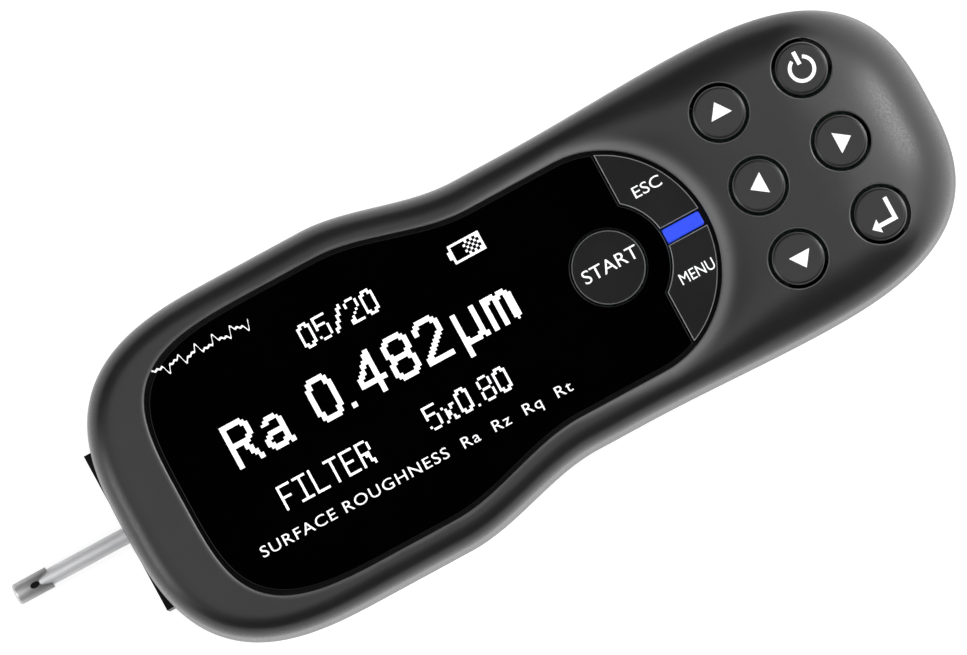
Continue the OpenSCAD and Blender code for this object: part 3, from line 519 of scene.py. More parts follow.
def belly_ring(angle, inset=0.0, lift=0.0):
    """A ring on the belly's roll: in by width (1 - cos^(2/p)), up by height (1 - sin^(2/p))."""
    c, s = (max(f(math.radians(angle)), 0) ** (2 / ROLL_POWER) for f in (math.cos, math.sin))
    return lifted(inward(inset + DRAFT + BELLY_ROLL[0] * (1 - c)), BELLY_Z + lift + BELLY_ROLL[1] * (1 - s))


def belly_floor(t, inset=0.0, lift=0.0):
    """A ring of the flat floor, a share t of the way from the roll to the spine."""
    edge = inward(inset + DRAFT + BELLY_ROLL[0])
    return lifted(edge + (spine(OUTLINE) - edge) * t, BELLY_Z + lift)


def lower_rings():
    """Rings of the tray, from the middle of the belly outside to the middle of its floor inside."""
    rings = [belly_floor(t) for t in (0.9, 0.6, 0.3)] + [belly_ring(a) for a in np.linspace(90, 0, 20)]
    rings += [lifted(OUTLINE, SEAM_Z - SEAM_BEVEL)]
    rings += [lifted(inward(depth), SEAM_Z) for depth in (SEAM_BEVEL, WALL)]
    rings += [belly_ring(a, WALL, WALL) for a in (0, 20, 40, 60, 80, 90)]
    return rings + [belly_floor(0.9, WALL, WALL)]


lower_shell = stacked("lower_shell", lower_rings())
slot = block(
    "slot_cutter",
    (BODY_FRONT - 1, -BASE_HALF - BASE_GAP, -1),
    (BASE_REAR + PLATE + BASE_GAP, BASE_HALF + BASE_GAP, BASE_TOP + BASE_GAP),
)
port = block(
    "port_cutter",
    (BODY_REAR - 14, -USB_HALF[0], USB_Z - USB_HALF[1]),
    (BODY_REAR + 9, USB_HALF[0], USB_Z + USB_HALF[1]),
)
recess_section = [(RECESS, 0), (RECESS, RECESS_TOP), (SCREW_HOLE, RECESS_TOP), (SCREW_HOLE, 40)]
recesses = [
    turned("recess_cutter", recess_section, (x, y, 0))
    for x, half in BOSSES
    for y in (-half, half)
]
lower_shell = carve(lower_shell, slot, port, *recesses)
dress(lower_shell, "housing", "black_shell", "lower_housing")
print("lower shell:", len(lower_shell.data.polygons), "faces")

# %% [markdown]
# ## The lens
# The display window is a polished black plate that drops into the pocket of the cover. Its front follows
# the window; at the back it stops at a straight chord, except for a round collar that carries the start
# key. The loop is written as a function of an inset, so that the rounded edge is simply the same loop a
# little smaller.

# %% Lens
LENS_GAP, KEY_GAP = 0.65, 0.3
COLLAR, CHORD_X = 9.4, START_X + 5.9
START_HOLE = 5.9
LENS_EDGE, FLAT_RIM = 0.06, 0.03


def lens_loop(inset):
    """Outer loop of the lens: the window drawn in, cut by the chord, with the collar's arc added."""
    ring = window_outline(LENS_GAP + inset)
    half = ring[: len(ring) // 2 + 1]
    chord = CHORD_X - KEY_GAP / 2 - inset
    end_y = (WINDOW_TAIL / 2 - LENS_GAP - inset) * math.sqrt(
        1 - ((chord - START_X) / (WINDOW_END - LENS_GAP - inset)) ** 2
    )
    count = MIDDLE_POINTS + 2 * END_POINTS
    edge = evened(*np.concatenate([half[half[:, 0] < chord - 0.02], [[chord, end_y]]]).T, count)
    radius = COLLAR - inset
    open_angle = math.degrees(math.acos((chord - START_X) / radius))
    a = arc(open_angle, 0, 40)
    collar = np.column_stack([START_X + radius * np.cos(a), radius * np.sin(a)])
    return mirrored(np.concatenate([edge, collar]))


def rounded_rings(loop, bottom, top, edge, steps=4):
    """Rings of a plate whose upper edge is rounded: in by edge (1 - cos), up to the top by edge sin. A
    last narrow ring lies flat, so that the face inside it shades as a plane."""
    rings = [lifted(loop(0), bottom)]
    for a in arc(0, 90, steps):
        rings.append(lifted(loop(edge * (1 - math.cos(a))), top - edge + edge * math.sin(a)))
    return np.array(rings + [lifted(loop(edge + FLAT_RIM), top)])


def start_hole_loop(inset):
    """The hole for the start key, widened by an inset."""
    return circle_loop(START_HOLE + inset, 120, (START_X, 0))


def lens_solid():
    """The plate with its hole: two walls of rings, and flat caps with the hole in them."""
    outer = rounded_rings(lens_loop, LENS_BOTTOM, LENS_TOP, LENS_EDGE)
    inner = rounded_rings(start_hole_loop, LENS_BOTTOM, LENS_TOP, LENS_EDGE)
    first = outer.shape[0] * outer.shape[1]
    tops = [(outer.shape[0] - 1) * outer.shape[1], first + (inner.shape[0] - 1) * inner.shape[1]]
    faces = list(ring_faces(*outer.shape[:2])) + list(ring_faces(*inner.shape[:2]) + first)
    faces += list(cap_faces([outer[0], inner[0]], [0, first])) + list(cap_faces([outer[-1], inner[-1]], tops))
    return np.concatenate([outer.reshape(-1, 3), inner.reshape(-1, 3)]), faces


lens = new_piece("lens", *lens_solid())
dress(lens, "housing", "lens", "display_lens")
print("lens:", len(lens.data.polygons), "faces")

# %% [markdown]
# ## The keys
# Six round caps stand in the holes of the keypad. Each is a turned piece: a stem, a flat underside and a
# cap with a rounded shoulder, which gives the bright ring that the photograph shows, helped by a painted
# highlight on the shoulder. The start key is turned too. The two keys beside the light bar fill what is
# left of the window's round end, so their loop joins four curves.

# %% Keys
STEM, STEM_TIP, CAP_BOTTOM, RING_BOTTOM = 1.1, 44.6, 47.1, 48.4
CAP, CAP_SHOULDER, KEY_PROUD = 4.0, 0.55, 0.3
# The last value below is how much painted highlight the start key's shoulder takes.
START_KEY, START_SHOULDER, START_HIGHLIGHT = 5.6, 0.16, 0.5
BAR_HALF, RING_STEM, STEM_SINK = 1.1, (8.5, 10.1), 0.2
RING_TOP = LENS_TOP + KEY_PROUD
ROUND_KEYS = {
    "up": (KEY_COLUMNS[0], KEY_ROW), "left": (KEY_COLUMNS[0], 0), "down": (KEY_COLUMNS[0], -KEY_ROW),
    "power": (KEY_COLUMNS[1], KEY_ROW), "right": (KEY_COLUMNS[1], 0), "enter": (KEY_COLUMNS[1], -KEY_ROW),
}
PRINT_LIFT = 0.03
key_tops = {k: float(skin_z(np.array([p], float))[0]) + KEY_PROUD - PRINT_LIFT for k, p in ROUND_KEYS.items()}


def cap_profile(radius, bottom, top, shoulder, steps=8):
    """A key in section: up the stem, out along the underside, up the side and over the shoulder."""
    a = arc(0, 90, steps)
    bend = np.column_stack([radius - shoulder * (1 - np.cos(a)), top - shoulder * (1 - np.sin(a))])
    rim = [(radius - shoulder - FLAT_RIM, top)]
    return np.concatenate([[(STEM, STEM_TIP), (STEM, bottom), (radius, bottom)], bend, rim])


def ring_key_loop(side):
    """Loop of a key beside the bar, drawn in: chord, outer ellipse, bar's edge and collar's arc."""
    def loop(inset):
        wide, high = WINDOW_END - LENS_GAP - inset, WINDOW_TAIL / 2 - LENS_GAP - inset
        chord, low = CHORD_X + KEY_GAP / 2 + inset, BAR_HALF + KEY_GAP + inset
        inner = COLLAR + KEY_GAP + inset
        a = np.linspace(math.acos((chord - START_X) / wide), math.asin(low / high), 60)
        b = np.linspace(math.asin(low / inner), math.acos((chord - START_X) / inner), 32)
        outer_edge = np.column_stack([START_X + wide * np.cos(a), high * np.sin(a)])
        inner_edge = np.column_stack([START_X + inner * np.cos(b), inner * np.sin(b)])
        return np.concatenate([outer_edge, inner_edge]) * [1, side]
    return loop


def ring_key(name, side):
    """The plate of a ring key with its stem below it, as one mesh of two closed shells."""
    plate = rounded_rings(ring_key_loop(side), RING_BOTTOM, RING_TOP, START_SHOULDER, 5)
    foot = circle_loop(STEM, 48, (START_X + RING_STEM[0], side * RING_STEM[1]))
    stem = np.array([lifted(foot, STEM_TIP), lifted(foot, RING_BOTTOM + STEM_SINK)])
    first = plate.shape[0] * plate.shape[1]
    faces = list(ring_faces(*plate.shape[:2])) + list(ring_faces(*stem.shape[:2]) + first)
    faces += list(cap_faces([plate[0]], [0])) + list(cap_faces([plate[-1]], [first - plate.shape[1]]))
    faces += list(cap_faces([stem[0]], [first])) + list(cap_faces([stem[1]], [first + len(foot)]))
    return new_piece(name + "_cap", np.concatenate([plate.reshape(-1, 3), stem.reshape(-1, 3)]), faces)


def on_shoulder(z, top, depth):
    """True on the rounded edge of a plate or cap: below its top, but no deeper than the rounding."""
    return (z > top - depth - 0.01) & (z < top - 0.002)


keys = {}
for name, (x, y) in ROUND_KEYS.items():
    profile = cap_profile(CAP, CAP_BOTTOM, key_tops[name], CAP_SHOULDER)
    keys[name] = turned(name + "_cap", profile, (x, y, 0), count=128)
    dress(keys[name], name, "grey_key", name + "_key")
profile = cap_profile(START_KEY, RING_BOTTOM, RING_TOP, START_SHOULDER)
keys["start"] = turned("start_cap", profile, (START_X, 0, 0), count=144)
dress(keys["start"], "start", "dark_key", "start_key")
for name, side in (("esc", 1), ("menu", -1)):
    keys[name] = dress(ring_key(name, side), name, "dark_key", name + "_key")
# Painted highlight on the keys: the rounded shoulders take a lighter colour, fully on the two ring keys, half
# on the start key and in a narrow band on the round caps.
for name, piece in keys.items():
    height = points_of(piece)[:, 2]
    if name in ROUND_KEYS:
        mark_rim(piece, on_shoulder(height, key_tops[name] - CAP_SHOULDER / 3, CAP_SHOULDER / 2))
    else:
        rim_lightening = START_HIGHLIGHT if name == "start" else 1
        mark_rim(piece, rim_lightening * on_shoulder(height, RING_TOP, START_SHOULDER))
print("keys:", ", ".join(keys))

# %% [markdown]
# ## The light bar
# A strip of clear blue plastic between the two ring keys glows when the tester runs. It is a small
# rounded plate on a foot that reaches down to the board, where the light comes from.

# %% Light bar
BAR_X = (START_X + COLLAR + KEY_GAP, START_X + WINDOW_END - LENS_GAP - 0.3)
BAR_TOP, BOARD_TOP, BAR_FOOT = LENS_TOP + 0.1, 43.2, 2.0
BAR_CORNER, BAR_EDGE = 0.35, 0.2


def bar_loop(inset):
    """A rectangle with its corners rounded off by a quarter circle each, drawn in."""
    a = arc(0, 90, 6)
    turn = np.column_stack([np.cos(a), np.sin(a)]) * (BAR_CORNER - inset)
    x0, x1, h = BAR_X[0] + BAR_CORNER, BAR_X[1] - BAR_CORNER, BAR_HALF - BAR_CORNER
    spots = [(x1, h, 0), (x0, h, 1), (x0, -h, 2), (x1, -h, 3)]
    quarter = np.array([[0, 1], [-1, 0]])
    return np.concatenate([turn @ np.linalg.matrix_power(quarter, k) + [x, y] for x, y, k in spots])


light_strip = stacked("light_strip", rounded_rings(bar_loop, LENS_BOTTOM, BAR_TOP, BAR_EDGE))
foot_low, foot_high = (BAR_X[0], -BAR_HALF, BOARD_TOP), (BAR_X[0] + BAR_FOOT, BAR_HALF, LENS_BOTTOM)
light_foot = block("light_foot", foot_low, foot_high)
dress(light_strip, "housing", "blue_light", "light_bar")
dress(light_foot, "housing", "blue_light")
print("light bar:", [round(x, 1) for x in BAR_X])

# %% [markdown]
# ## What the display shows
# The display is a coarse dot matrix, so its characters are drawn as a plotter would draw them: a few
# straight strokes per character, and every dot whose centre lies within half a pen's width of a stroke is
# lit. The steps along slanting strokes then come by themselves. Each lit dot becomes one thin raised box.

# %% Dot matrix characters
DOT, DOT_GAP, DESCENT, POINT_ADVANCE = 0.445, 0.08, 4, 0.46
STROKES = {
    "R": ["1,1 1,15 7,15 9,13 9,10 7,8 1,8", "5,8 9,1"],
    "a": ["2,9.5 4,11 6.5,11 8,9.5 8,2 9.5,1", "8,6.5 3,6.2 1,4.5 1,2.5 3,1 6,1 8,3"],
    "0": ["3,1 7,1 9,4 9,12 7,15 3,15 1,12 1,4 3,1"],
    "2": ["1,12 1,13 3,15 7,15 9,13 9,10 1,2 1,1 9,1"],
    "4": ["7,1 7,15 1,6.5 1,5 9.5,5"],
    "5": ["9,15 2,15 1.4,8.8 3,9.8 7,9.8 9,7.8 9,3 7,1 3,1 1,3"],
    "8": ["3,8 1,6 1,3 3,1 7,1 9,3 9,6 7,8 3,8 1,10 1,13 3,15 7,15 9,13 9,10 7,8"],
    ".": ["1,1 1.5,1"],
    "/": ["1,1 9,15"],
    "x": ["1,1 8,10", "8,1 1,10"],
    "u": ["1,11 1,-3", "1,3 3,1 6,1 8,3", "8,11 8,2 9.5,1"],
    "m": ["1,1 1,11", "1,9 3,11 4,11 5.2,9.5 5.2,1", "5.2,9.5 7,11 8,11 9.5,9.5 9.5,1"],
    "F": ["1,1 1,15 9,15", "1,8 7,8"],
    "I": ["5,1 5,15", "2,1 8,1", "2,15 8,15"],
    "L": ["1,15 1,1 9,1"],
    "T": ["1,15 9,15", "5,15 5,1"],
    "E": ["9,15 1,15 1,1 9,1", "1,8 7,8"],
}


def lit_dots(character, size, pen):
    """Dots of a character: a grid of centres, lit where a stroke passes within the pen."""
    wide, high = size
    scale = np.array([wide / 10, high / 16])
    x, y = np.meshgrid(np.arange(wide + 1) + 0.5, np.arange(-DESCENT, high + 1) + 0.5)
    spots = np.stack([x, y], -1)
    lit = np.zeros(x.shape, bool)
    for stroke in STROKES[character]:
        path = np.array([p.split(",") for p in stroke.split()], float) * scale
        for a, b in zip(path[:-1], path[1:]):
            along = np.clip(((spots - a) @ (b - a)) / max((b - a) @ (b - a), 1e-9), 0, 1)
            lit |= np.linalg.norm(spots - a - along[..., None] * (b - a), axis=-1) <= pen
    return lit


def dot_boxes(lit, corner):
    """Boxes (x0, y0, x1, y1) in millimetres of the lit dots: a side whose neighbour is dark stands back
    by DOT_GAP of a dot, and a side whose neighbour is lit reaches up to it."""
    dark = ~np.pad(lit, 1)
    row, column = np.nonzero(lit)
    west, east = dark[row + 1, column], dark[row + 1, column + 2]
    south, north = dark[row, column + 1], dark[row + 2, column + 1]
    boxes = np.column_stack([column, row, column + 1, row + 1])
    back = np.column_stack([west, south, east, north]) * [1, 1, -1, -1]
    return (boxes + back * DOT_GAP) * DOT + np.tile(corner, 2)


def raised_boxes(name, boxes, z):
    """All boxes as one mesh: eight corners and six sides each, PRINT_LIFT above z and as far below."""
    x0, y0, x1, y1 = np.asarray(boxes, float).T
    low, high = np.full(len(x0), z - PRINT_LIFT), np.full(len(x0), z + PRINT_LIFT)
    square = [(x0, y0), (x1, y0), (x1, y1), (x0, y1)]
    corners = np.stack([np.stack([x, y, h], -1) for h in (low, high) for x, y in square], 1)
    sides = np.array([[0, 3, 2, 1], [4, 5, 6, 7], [0, 1, 5, 4], [1, 2, 6, 5], [2, 3, 7, 6], [3, 0, 4, 7]])
    faces = (np.arange(len(x0))[:, None, None] * 8 + sides).reshape(-1, 4)
    return new_boxes(name, corners.reshape(-1, 3), faces)


def new_boxes(name, points, faces):
    """A mesh of many small closed boxes, whose shared corners stay apart."""
    mesh = bpy.data.meshes.new(name)
    mesh.from_pydata((points * MM).tolist(), [], faces.tolist())
    piece = bpy.data.objects.new(name, mesh)
    bpy.context.scene.collection.objects.link(piece)
    return piece


def dot_line(text, x, y, kind, advance):
    """Dots of a line of characters from its lower left corner, each advanced by a number of dots."""
    boxes = []
    for character in text:
        boxes.append(dot_boxes(lit_dots(character, *kind), (x, y - DESCENT * DOT)))
        x += (advance * (POINT_ADVANCE if character == "." else 1)) * DOT
    return boxes


BIG, SMALL = ((10, 16), 1.02), ((5, 9), 0.52)
LINES = (
    ("Ra", -39.3, -0.4, BIG, 12), ("0.482", -25.2, -0.4, BIG, 12), ("um", -0.6, -0.4, BIG, 11.4),
    ("05/20", -21.9, 10.7, SMALL, 6), ("FILTER", -36.0, -9.2, SMALL, 6), ("5x0.80", -11.1, -9.2, SMALL, 6),
)
BATTERY_WIDE, BATTERY_HIGH, BATTERY_SPOT = 13, 7, (3.6, 11.3)
reading = [boxes for line in LINES for boxes in dot_line(*line)]
column, row = np.meshgrid(np.arange(BATTERY_WIDE), np.arange(BATTERY_HIGH))
ends_lit = (column == 1) | (column == BATTERY_WIDE - 1)
frame_lit = (column >= 1) & ((row % (BATTERY_HIGH - 1) == 0) | ends_lit)
nub_lit = (column == 0) & (row >= 2) & (row <= 4)
charge_lit = (column >= 6) & ((column + row) % 2 == 0)
reading.append(dot_boxes(frame_lit | nub_lit | charge_lit, BATTERY_SPOT))
display_dots = raised_boxes("display_dots", np.concatenate(reading), LENS_TOP)
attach(display_dots, "housing")
print("display:", len(display_dots.data.polygons), "faces of lit dots")

# %% [markdown]
# ## Legends and symbols
# Words on the keys are printed in white. A text object makes the letters, and it becomes a mesh before it
# is placed and fitted to the measured length and height. The arrows, the power sign and the return sign
# are plain outlines, so they are given as corner points and thickened to the same thin film of ink.

# %% Legends
PRINT_SHARP = 30


def ink(name, loops, z, body):
    """A film of ink: each closed outline, counter-clockwise, becomes a thin prism on the surface at z."""
    points, faces, first = [], [], 0
    for loop in loops:
        rings = np.array([lifted(loop, z - PRINT_LIFT), lifted(loop, z + PRINT_LIFT)])
        count = len(loop)
        faces += list(ring_faces(2, count) + first)
        faces += list(cap_faces([rings[0]], [first])) + list(cap_faces([rings[1]], [first + count]))
        points.append(rings.reshape(-1, 3))
        first += 2 * count
    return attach(new_piece(name, np.concatenate(points), faces, PRINT_SHARP), body)


def lettering(name, text, box, z, body, spacing=1.0):
    """Words as a mesh, fitted to the box (x0, y0, x1, y1) and standing as a thin film at z."""
    curve = bpy.data.curves.new(name, "FONT")
    curve.body, curve.extrude, curve.resolution_u, curve.space_character = text, 0.02, 4, spacing
    words = bpy.data.objects.new(name, curve)
    bpy.context.scene.collection.objects.link(words)
    mesh = bpy.data.meshes.new_from_object(words.evaluated_get(bpy.context.evaluated_depsgraph_get()))
    bpy.data.objects.remove(words)
    co = np.empty(len(mesh.vertices) * 3, np.float32)
    mesh.vertices.foreach_get("co", co)
    co = co.reshape(-1, 3)
    low, high = co.min(0), co.max(0)
    share = (co - low) / (high - low)
    x0, y0, x1, y1 = box
    fitted = np.array([x0, y0, z - PRINT_LIFT]) + share * [x1 - x0, y1 - y0, 2 * PRINT_LIFT]
    mesh.vertices.foreach_set("co", (fitted * MM).astype(np.float32).ravel())
    close_up(mesh)
    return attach(placed_piece(name, mesh, PRINT_SHARP), body)


def turned_to(points, quarter, centre):
    """Points turned by quarter turns about the origin and moved to a centre."""
    a = quarter * math.pi / 2
    spin = np.array([[math.cos(a), math.sin(a)], [-math.sin(a), math.cos(a)]])
    return np.asarray(points, float) @ spin + np.asarray(centre, float)


START_BOX = (START_X - 4.2, -0.8, START_X + 5.05, 1.3)
ESC_BOX, MENU_BOX = (32.7, 7.1, 37.3, 8.9), (32.72, -7.77, 38.42, -6.02)
legends = [
    lettering("start_legend", "START", START_BOX, RING_TOP, "start"),
    lettering("esc_legend", "ESC", ESC_BOX, RING_TOP, "esc"),
    lettering("menu_legend", "MENU", MENU_BOX, RING_TOP, "menu"),
]
ARROW = [(1.72, 0), (-0.7, 1.74), (-0.7, -1.74)]
ARROW_SHIFT = {"right": (0, 0), "up": (0.07, 0.04), "left": (0.3, 0.03), "down": (0.45, -0.1)}
for quarter, (name, shift) in enumerate(ARROW_SHIFT.items()):
    arrow = turned_to(ARROW, quarter, np.add(ROUND_KEYS[name], shift))
    legends.append(ink(name + "_symbol", [arrow[::-1]], key_tops[name], name))

POWER_RING, POWER_STROKE, POWER_GAP, POWER_SHIFT = 2.14, 0.56, 28, (0.05, -0.1)
POWER_BAR = [(-0.32, 0.75), (0.32, 0.75), (0.32, 2.85), (-0.32, 2.85)]
a = arc(90 + POWER_GAP, 450 - POWER_GAP, 56)
wheel = np.column_stack([np.cos(a), np.sin(a)])
power_ring = np.concatenate([wheel * POWER_RING, wheel[::-1] * (POWER_RING - POWER_STROKE)])
power_spot = np.add(ROUND_KEYS["power"], POWER_SHIFT)
power_sign = [power_ring + power_spot, POWER_BAR + power_spot]
legends.append(ink("power_symbol", power_sign, key_tops["power"], "power"))
RETURN_SHIFT = (-0.18, -0.02)
RETURN_SIGN = [
    (2.2, 1.95), (1.55, 1.95), (1.55, -1.2), (-0.8, -1.2), (-0.8, -0.42), (-2.05, -1.53), (-0.8, -2.65),
    (-0.8, -1.86), (2.2, -1.86),
]
return_sign = np.array(RETURN_SIGN) + ROUND_KEYS["enter"] + RETURN_SHIFT
legends.append(ink("enter_symbol", [return_sign], key_tops["enter"], "enter"))
print("legends:", len(legends))

# %% [markdown]
# ## Printing on the lens
# Below the display the lens carries a printed line, here the quantity that is measured and its usual
# parameters, and in the upper corner a short roughness trace: a line carried along a jagged path with a
# steady width.

# %% Lens printing
LENS_LINE, LENS_LINE_BOX = "SURFACE ROUGHNESS  Ra  Rz  Rq  Rt", (-42.5, -14.3, 10.7, -12.0)
TRACE = (-44.0, -27.5, 18.6, 1.1, 0.34)
WAVES = ((0.45, 5, 0), (0.3, 11, 1), (0.22, 17, 2))


def trace_outline():
    """A profile like that of a ground surface: a sum of sines of falling height, widened to a ribbon."""
    x0, x1, y, height, width = TRACE
    x = np.linspace(x0, x1, 160)
    u = (x - x0) / (x1 - x0) * 2 * np.pi
    line = y + height * sum(size * np.sin(beat * u + lag) for size, beat, lag in WAVES)
    lower, upper = (np.column_stack([x, line + side * width / 2]) for side in (-1, 1))
    return np.concatenate([lower, upper[::-1]])


lens_print = [ink("trace_print", [trace_outline()], LENS_TOP, "housing")]
lens_print.append(lettering("line_print", LENS_LINE, LENS_LINE_BOX, LENS_TOP, "housing", 1.12))
print("lens printing:", len(lens_print))

# %% [markdown]
# ## The pickup
# The thin steel tube with its skidded nose is the part that touches the work. Tube and body are turned
# pieces with small chamfers. The nose is turned as well, with a slightly domed front; a V-shaped notch
# that opens to the rear and a small eye at its root are cut from above, and the stylus hole from below.
# A thin black sheet inside the eye is painted shade that keeps the eye dark.

# %% Pickup
PICKUP_Z, NOSE_X, NOSE_LENGTH, NOSE_RADIUS = 3.8, -79.0, 6.0, 1.7
TUBE_RADIUS, TUBE_BORE, TUBE_X = 1.3, 0.9, (-74.8, -50.8)
BODY_X, BODY_RADIUS, BODY_BORE = (-52.0, -24.0), 3.3, 2.8
BODY_CHAMFERS, BODY_WEB = (0.5, 0.3), 1.2
GROOVE_X, GROOVE_DEPTH, GROOVE_SLOPE = (-27.2, -26.2), 0.25, 0.2
DOME_TIP, DOME_RADIUS, DOME_X, DOME_ROUND = 0.5, 1.2, NOSE_X + 0.1, 0.5
NOTCH_X, NOTCH_HALF, NOTCH_FLOOR = (NOSE_X + 3, NOSE_X + 7.1), 1.45, PICKUP_Z + 0.6
EYE_X, EYE_HALF, EYE_SHADE_Z = NOSE_X + 3.4, (0.75, 0.475), (4.72, 4.95)
CUT_TOP, BORE_X, CHAMBER_X = PICKUP_Z + 5, (NOSE_X + 4.2, NOSE_X + 8), (NOSE_X + 1.2, NOSE_X + 5)
STYLUS_X, STYLUS_HOLE, TUBE_CHAMFER = NOSE_X + 2.4, 0.75, 0.12
SKID_SPOT, SKID_RADIUS, SKID_HALF, SKID_CHAMFER = (NOSE_X + 2.6, 0, 2.7), 2.2, 1.2, 0.15
SKID_TOP, SKID_SINK, NOSE_PALE_SPAN = PICKUP_Z - 1.1, 0.2, (NOSE_X + 1.6, NOSE_X + 3.2)
PICKUP_AXIS = (0, 0, PICKUP_Z)


def chamfered(start, end, radius, edge):
    """A turned bar in section, with a chamfer at each end."""
    return [(radius - edge, start), (radius, start + edge), (radius, end - edge), (radius - edge, end)]


def stylus_cutter(top):
    """A round cutter for the stylus hole, from below the nose up to a height."""
    return turned("hole_cutter", [(STYLUS_HOLE, -1), (STYLUS_HOLE, top)], (STYLUS_X, 0, 0), "z", 48)


tube_outside = chamfered(*TUBE_X, TUBE_RADIUS, TUBE_CHAMFER)
tube_section = [(TUBE_BORE, TUBE_X[0]), *tube_outside, (TUBE_BORE, TUBE_X[1])]
tube = turned("pickup_sleeve", tube_section, PICKUP_AXIS, "x", 64, joined=True)
front_chamfer, rear_chamfer = BODY_CHAMFERS
body_section = [
    (TUBE_RADIUS, BODY_X[0]), (BODY_RADIUS - front_chamfer, BODY_X[0]),
    (BODY_RADIUS, BODY_X[0] + front_chamfer), (BODY_RADIUS, GROOVE_X[0]),
    (BODY_RADIUS - GROOVE_DEPTH, GROOVE_X[0] + GROOVE_SLOPE),
    (BODY_RADIUS - GROOVE_DEPTH, GROOVE_X[1] - GROOVE_SLOPE), (BODY_RADIUS, GROOVE_X[1]),
    (BODY_RADIUS, BODY_X[1] - rear_chamfer), (BODY_RADIUS - rear_chamfer, BODY_X[1]), (BODY_BORE, BODY_X[1]),
    (BODY_BORE, BODY_X[0] + BODY_WEB), (TUBE_RADIUS, BODY_X[0] + BODY_WEB),
]
barrel = turned("pickup_barrel", body_section, PICKUP_AXIS, "x", 96, joined=True)
a = arc(0, 90, 6)
dome = np.column_stack([DOME_RADIUS + DOME_ROUND * np.sin(a), DOME_X + DOME_ROUND * (1 - np.cos(a))])
nose_section = [(DOME_TIP, NOSE_X)] + dome.tolist() + [(NOSE_RADIUS, NOSE_X + NOSE_LENGTH)]
nose = turned("pickup_skid", nose_section, PICKUP_AXIS, "x", 96)
wedge = np.array([(NOTCH_X[0], 0), (NOTCH_X[1], -NOTCH_HALF), (NOTCH_X[1], NOTCH_HALF)])
notch = stacked("notch_cutter", [lifted(wedge, z) for z in (NOTCH_FLOOR, CUT_TOP)])
eye_loop = circle_loop(1, 48) * EYE_HALF + [EYE_X, 0]
eye = stacked("eye_cutter", [lifted(eye_loop, z) for z in (PICKUP_Z, CUT_TOP)])
bore = turned("bore_cutter", [(TUBE_RADIUS, x) for x in BORE_X], PICKUP_AXIS, "x", 64)
chamber = turned("chamber_cutter", [(TUBE_BORE, x) for x in CHAMBER_X], PICKUP_AXIS, "x", 48)
nose = carve(nose, notch, eye, bore, chamber)
skid_section = chamfered(-SKID_HALF, SKID_HALF, SKID_RADIUS, SKID_CHAMFER)
skid = turned("pickup_shoe", skid_section, SKID_SPOT, "y", 96)
skid_top = block("top_cutter", (NOSE_X - 1, -2, SKID_TOP), (NOSE_X + 7, 2, PICKUP_Z + 4))
skid = carve(skid, stylus_cutter(PICKUP_Z + SKID_SINK), skid_top)
nose = carve(nose, stylus_cutter(PICKUP_Z))
dress(tube, "pickup", "steel", "pickup_tube")
dress(barrel, "pickup", "steel", "pickup_body")
dress(nose, "pickup", "dark_steel", "pickup_nose")
# Painted shade: a thin black sheet in the eye.
eye_shade_sheet = stacked("eye_seal", [lifted(eye_loop, z) for z in EYE_SHADE_Z])
dress(skid, "pickup", "dark_steel")
dress(eye_shade_sheet, "pickup", "black_plastic")
# The nose grows paler towards its front tip, taking the lighter rim tone of dark steel there.
mark_rim(nose, 1 - smooth(*NOSE_PALE_SPAN, points_of(nose)[:, 0]))


def chamber_faces(piece):
    """Faces inside the nose, those that look towards its axis from within the bore: they take black plastic
    as painted shade.
    """
    centre, normal = face_layout(piece)
    arm = centre[:, 1:] - [0, PICKUP_Z]
    return ((arm * normal[:, 1:]).sum(1) < 0) & (np.linalg.norm(arm, axis=1) < TUBE_RADIUS)


print("pickup: nose", len(nose.data.polygons), "faces")

# %% [markdown]
# ## The drive
# Inside the base a small motor turns the lead screw, and a brass nut draws the carriage along it; a
# coiled spring holds the pickup down. The CAD model keeps these three plain. A thread could be cut by
# sweeping a cutter, but a tube whose radius rises and falls along a helix is one clean grid. The hand of
# the thread follows from the motion: the carriage goes to the rear when the screw turns forwards about
# the same axis.

# %% Screw, nut and spring
DRIVE_Z = 14.0
SCREW_X, SCREW_RADIUS = (-33.5, 26.5), 1.5
THREAD_X, THREAD_DEPTH, THREAD_SLOPE, PITCH = (-29.5, 22.5), 0.3, 1.5, 1.0
NUT_X, NUT_BORE, NUT_RADIUS, FLANGE_X, FLANGE_RADIUS, CHAMFER = (-4.0, 5.4), 1.54, 3.0, 4.0, 4.2, 0.15
SPRING_SPOT, SPRING_Z, SPRING_RADIUS, WIRE, COILS = (-17.0, 0.0), (7.3, 9.6), 1.3, 0.19, 4


def threaded_rings(steps=8, count=24):
    """Rings of the screw: plain ends, and between them a radius that falls by the depth where x / pitch
    plus the turn about the axis comes near a whole number."""
    run = THREAD_X[1] - THREAD_X[0]
    x = np.concatenate([[SCREW_X[0]], np.linspace(*THREAD_X, int(run / PITCH * steps) + 1), [SCREW_X[1]]])
    a = full_turn(count)
    phase = (x[:, None] / PITCH + a / (2 * np.pi)) % 1
    flank_share = np.clip(THREAD_SLOPE - np.abs(2 * phase - 1) * THREAD_SLOPE, 0, 1)
    plain = (x <= THREAD_X[0]) | (x >= THREAD_X[1])
    radius = SCREW_RADIUS - THREAD_DEPTH * np.where(plain[:, None], 0, 1 - flank_share)
    along = np.broadcast_to(x[:, None], radius.shape)
    return np.stack([along, radius * np.cos(a), DRIVE_Z + radius * np.sin(a)], -1)


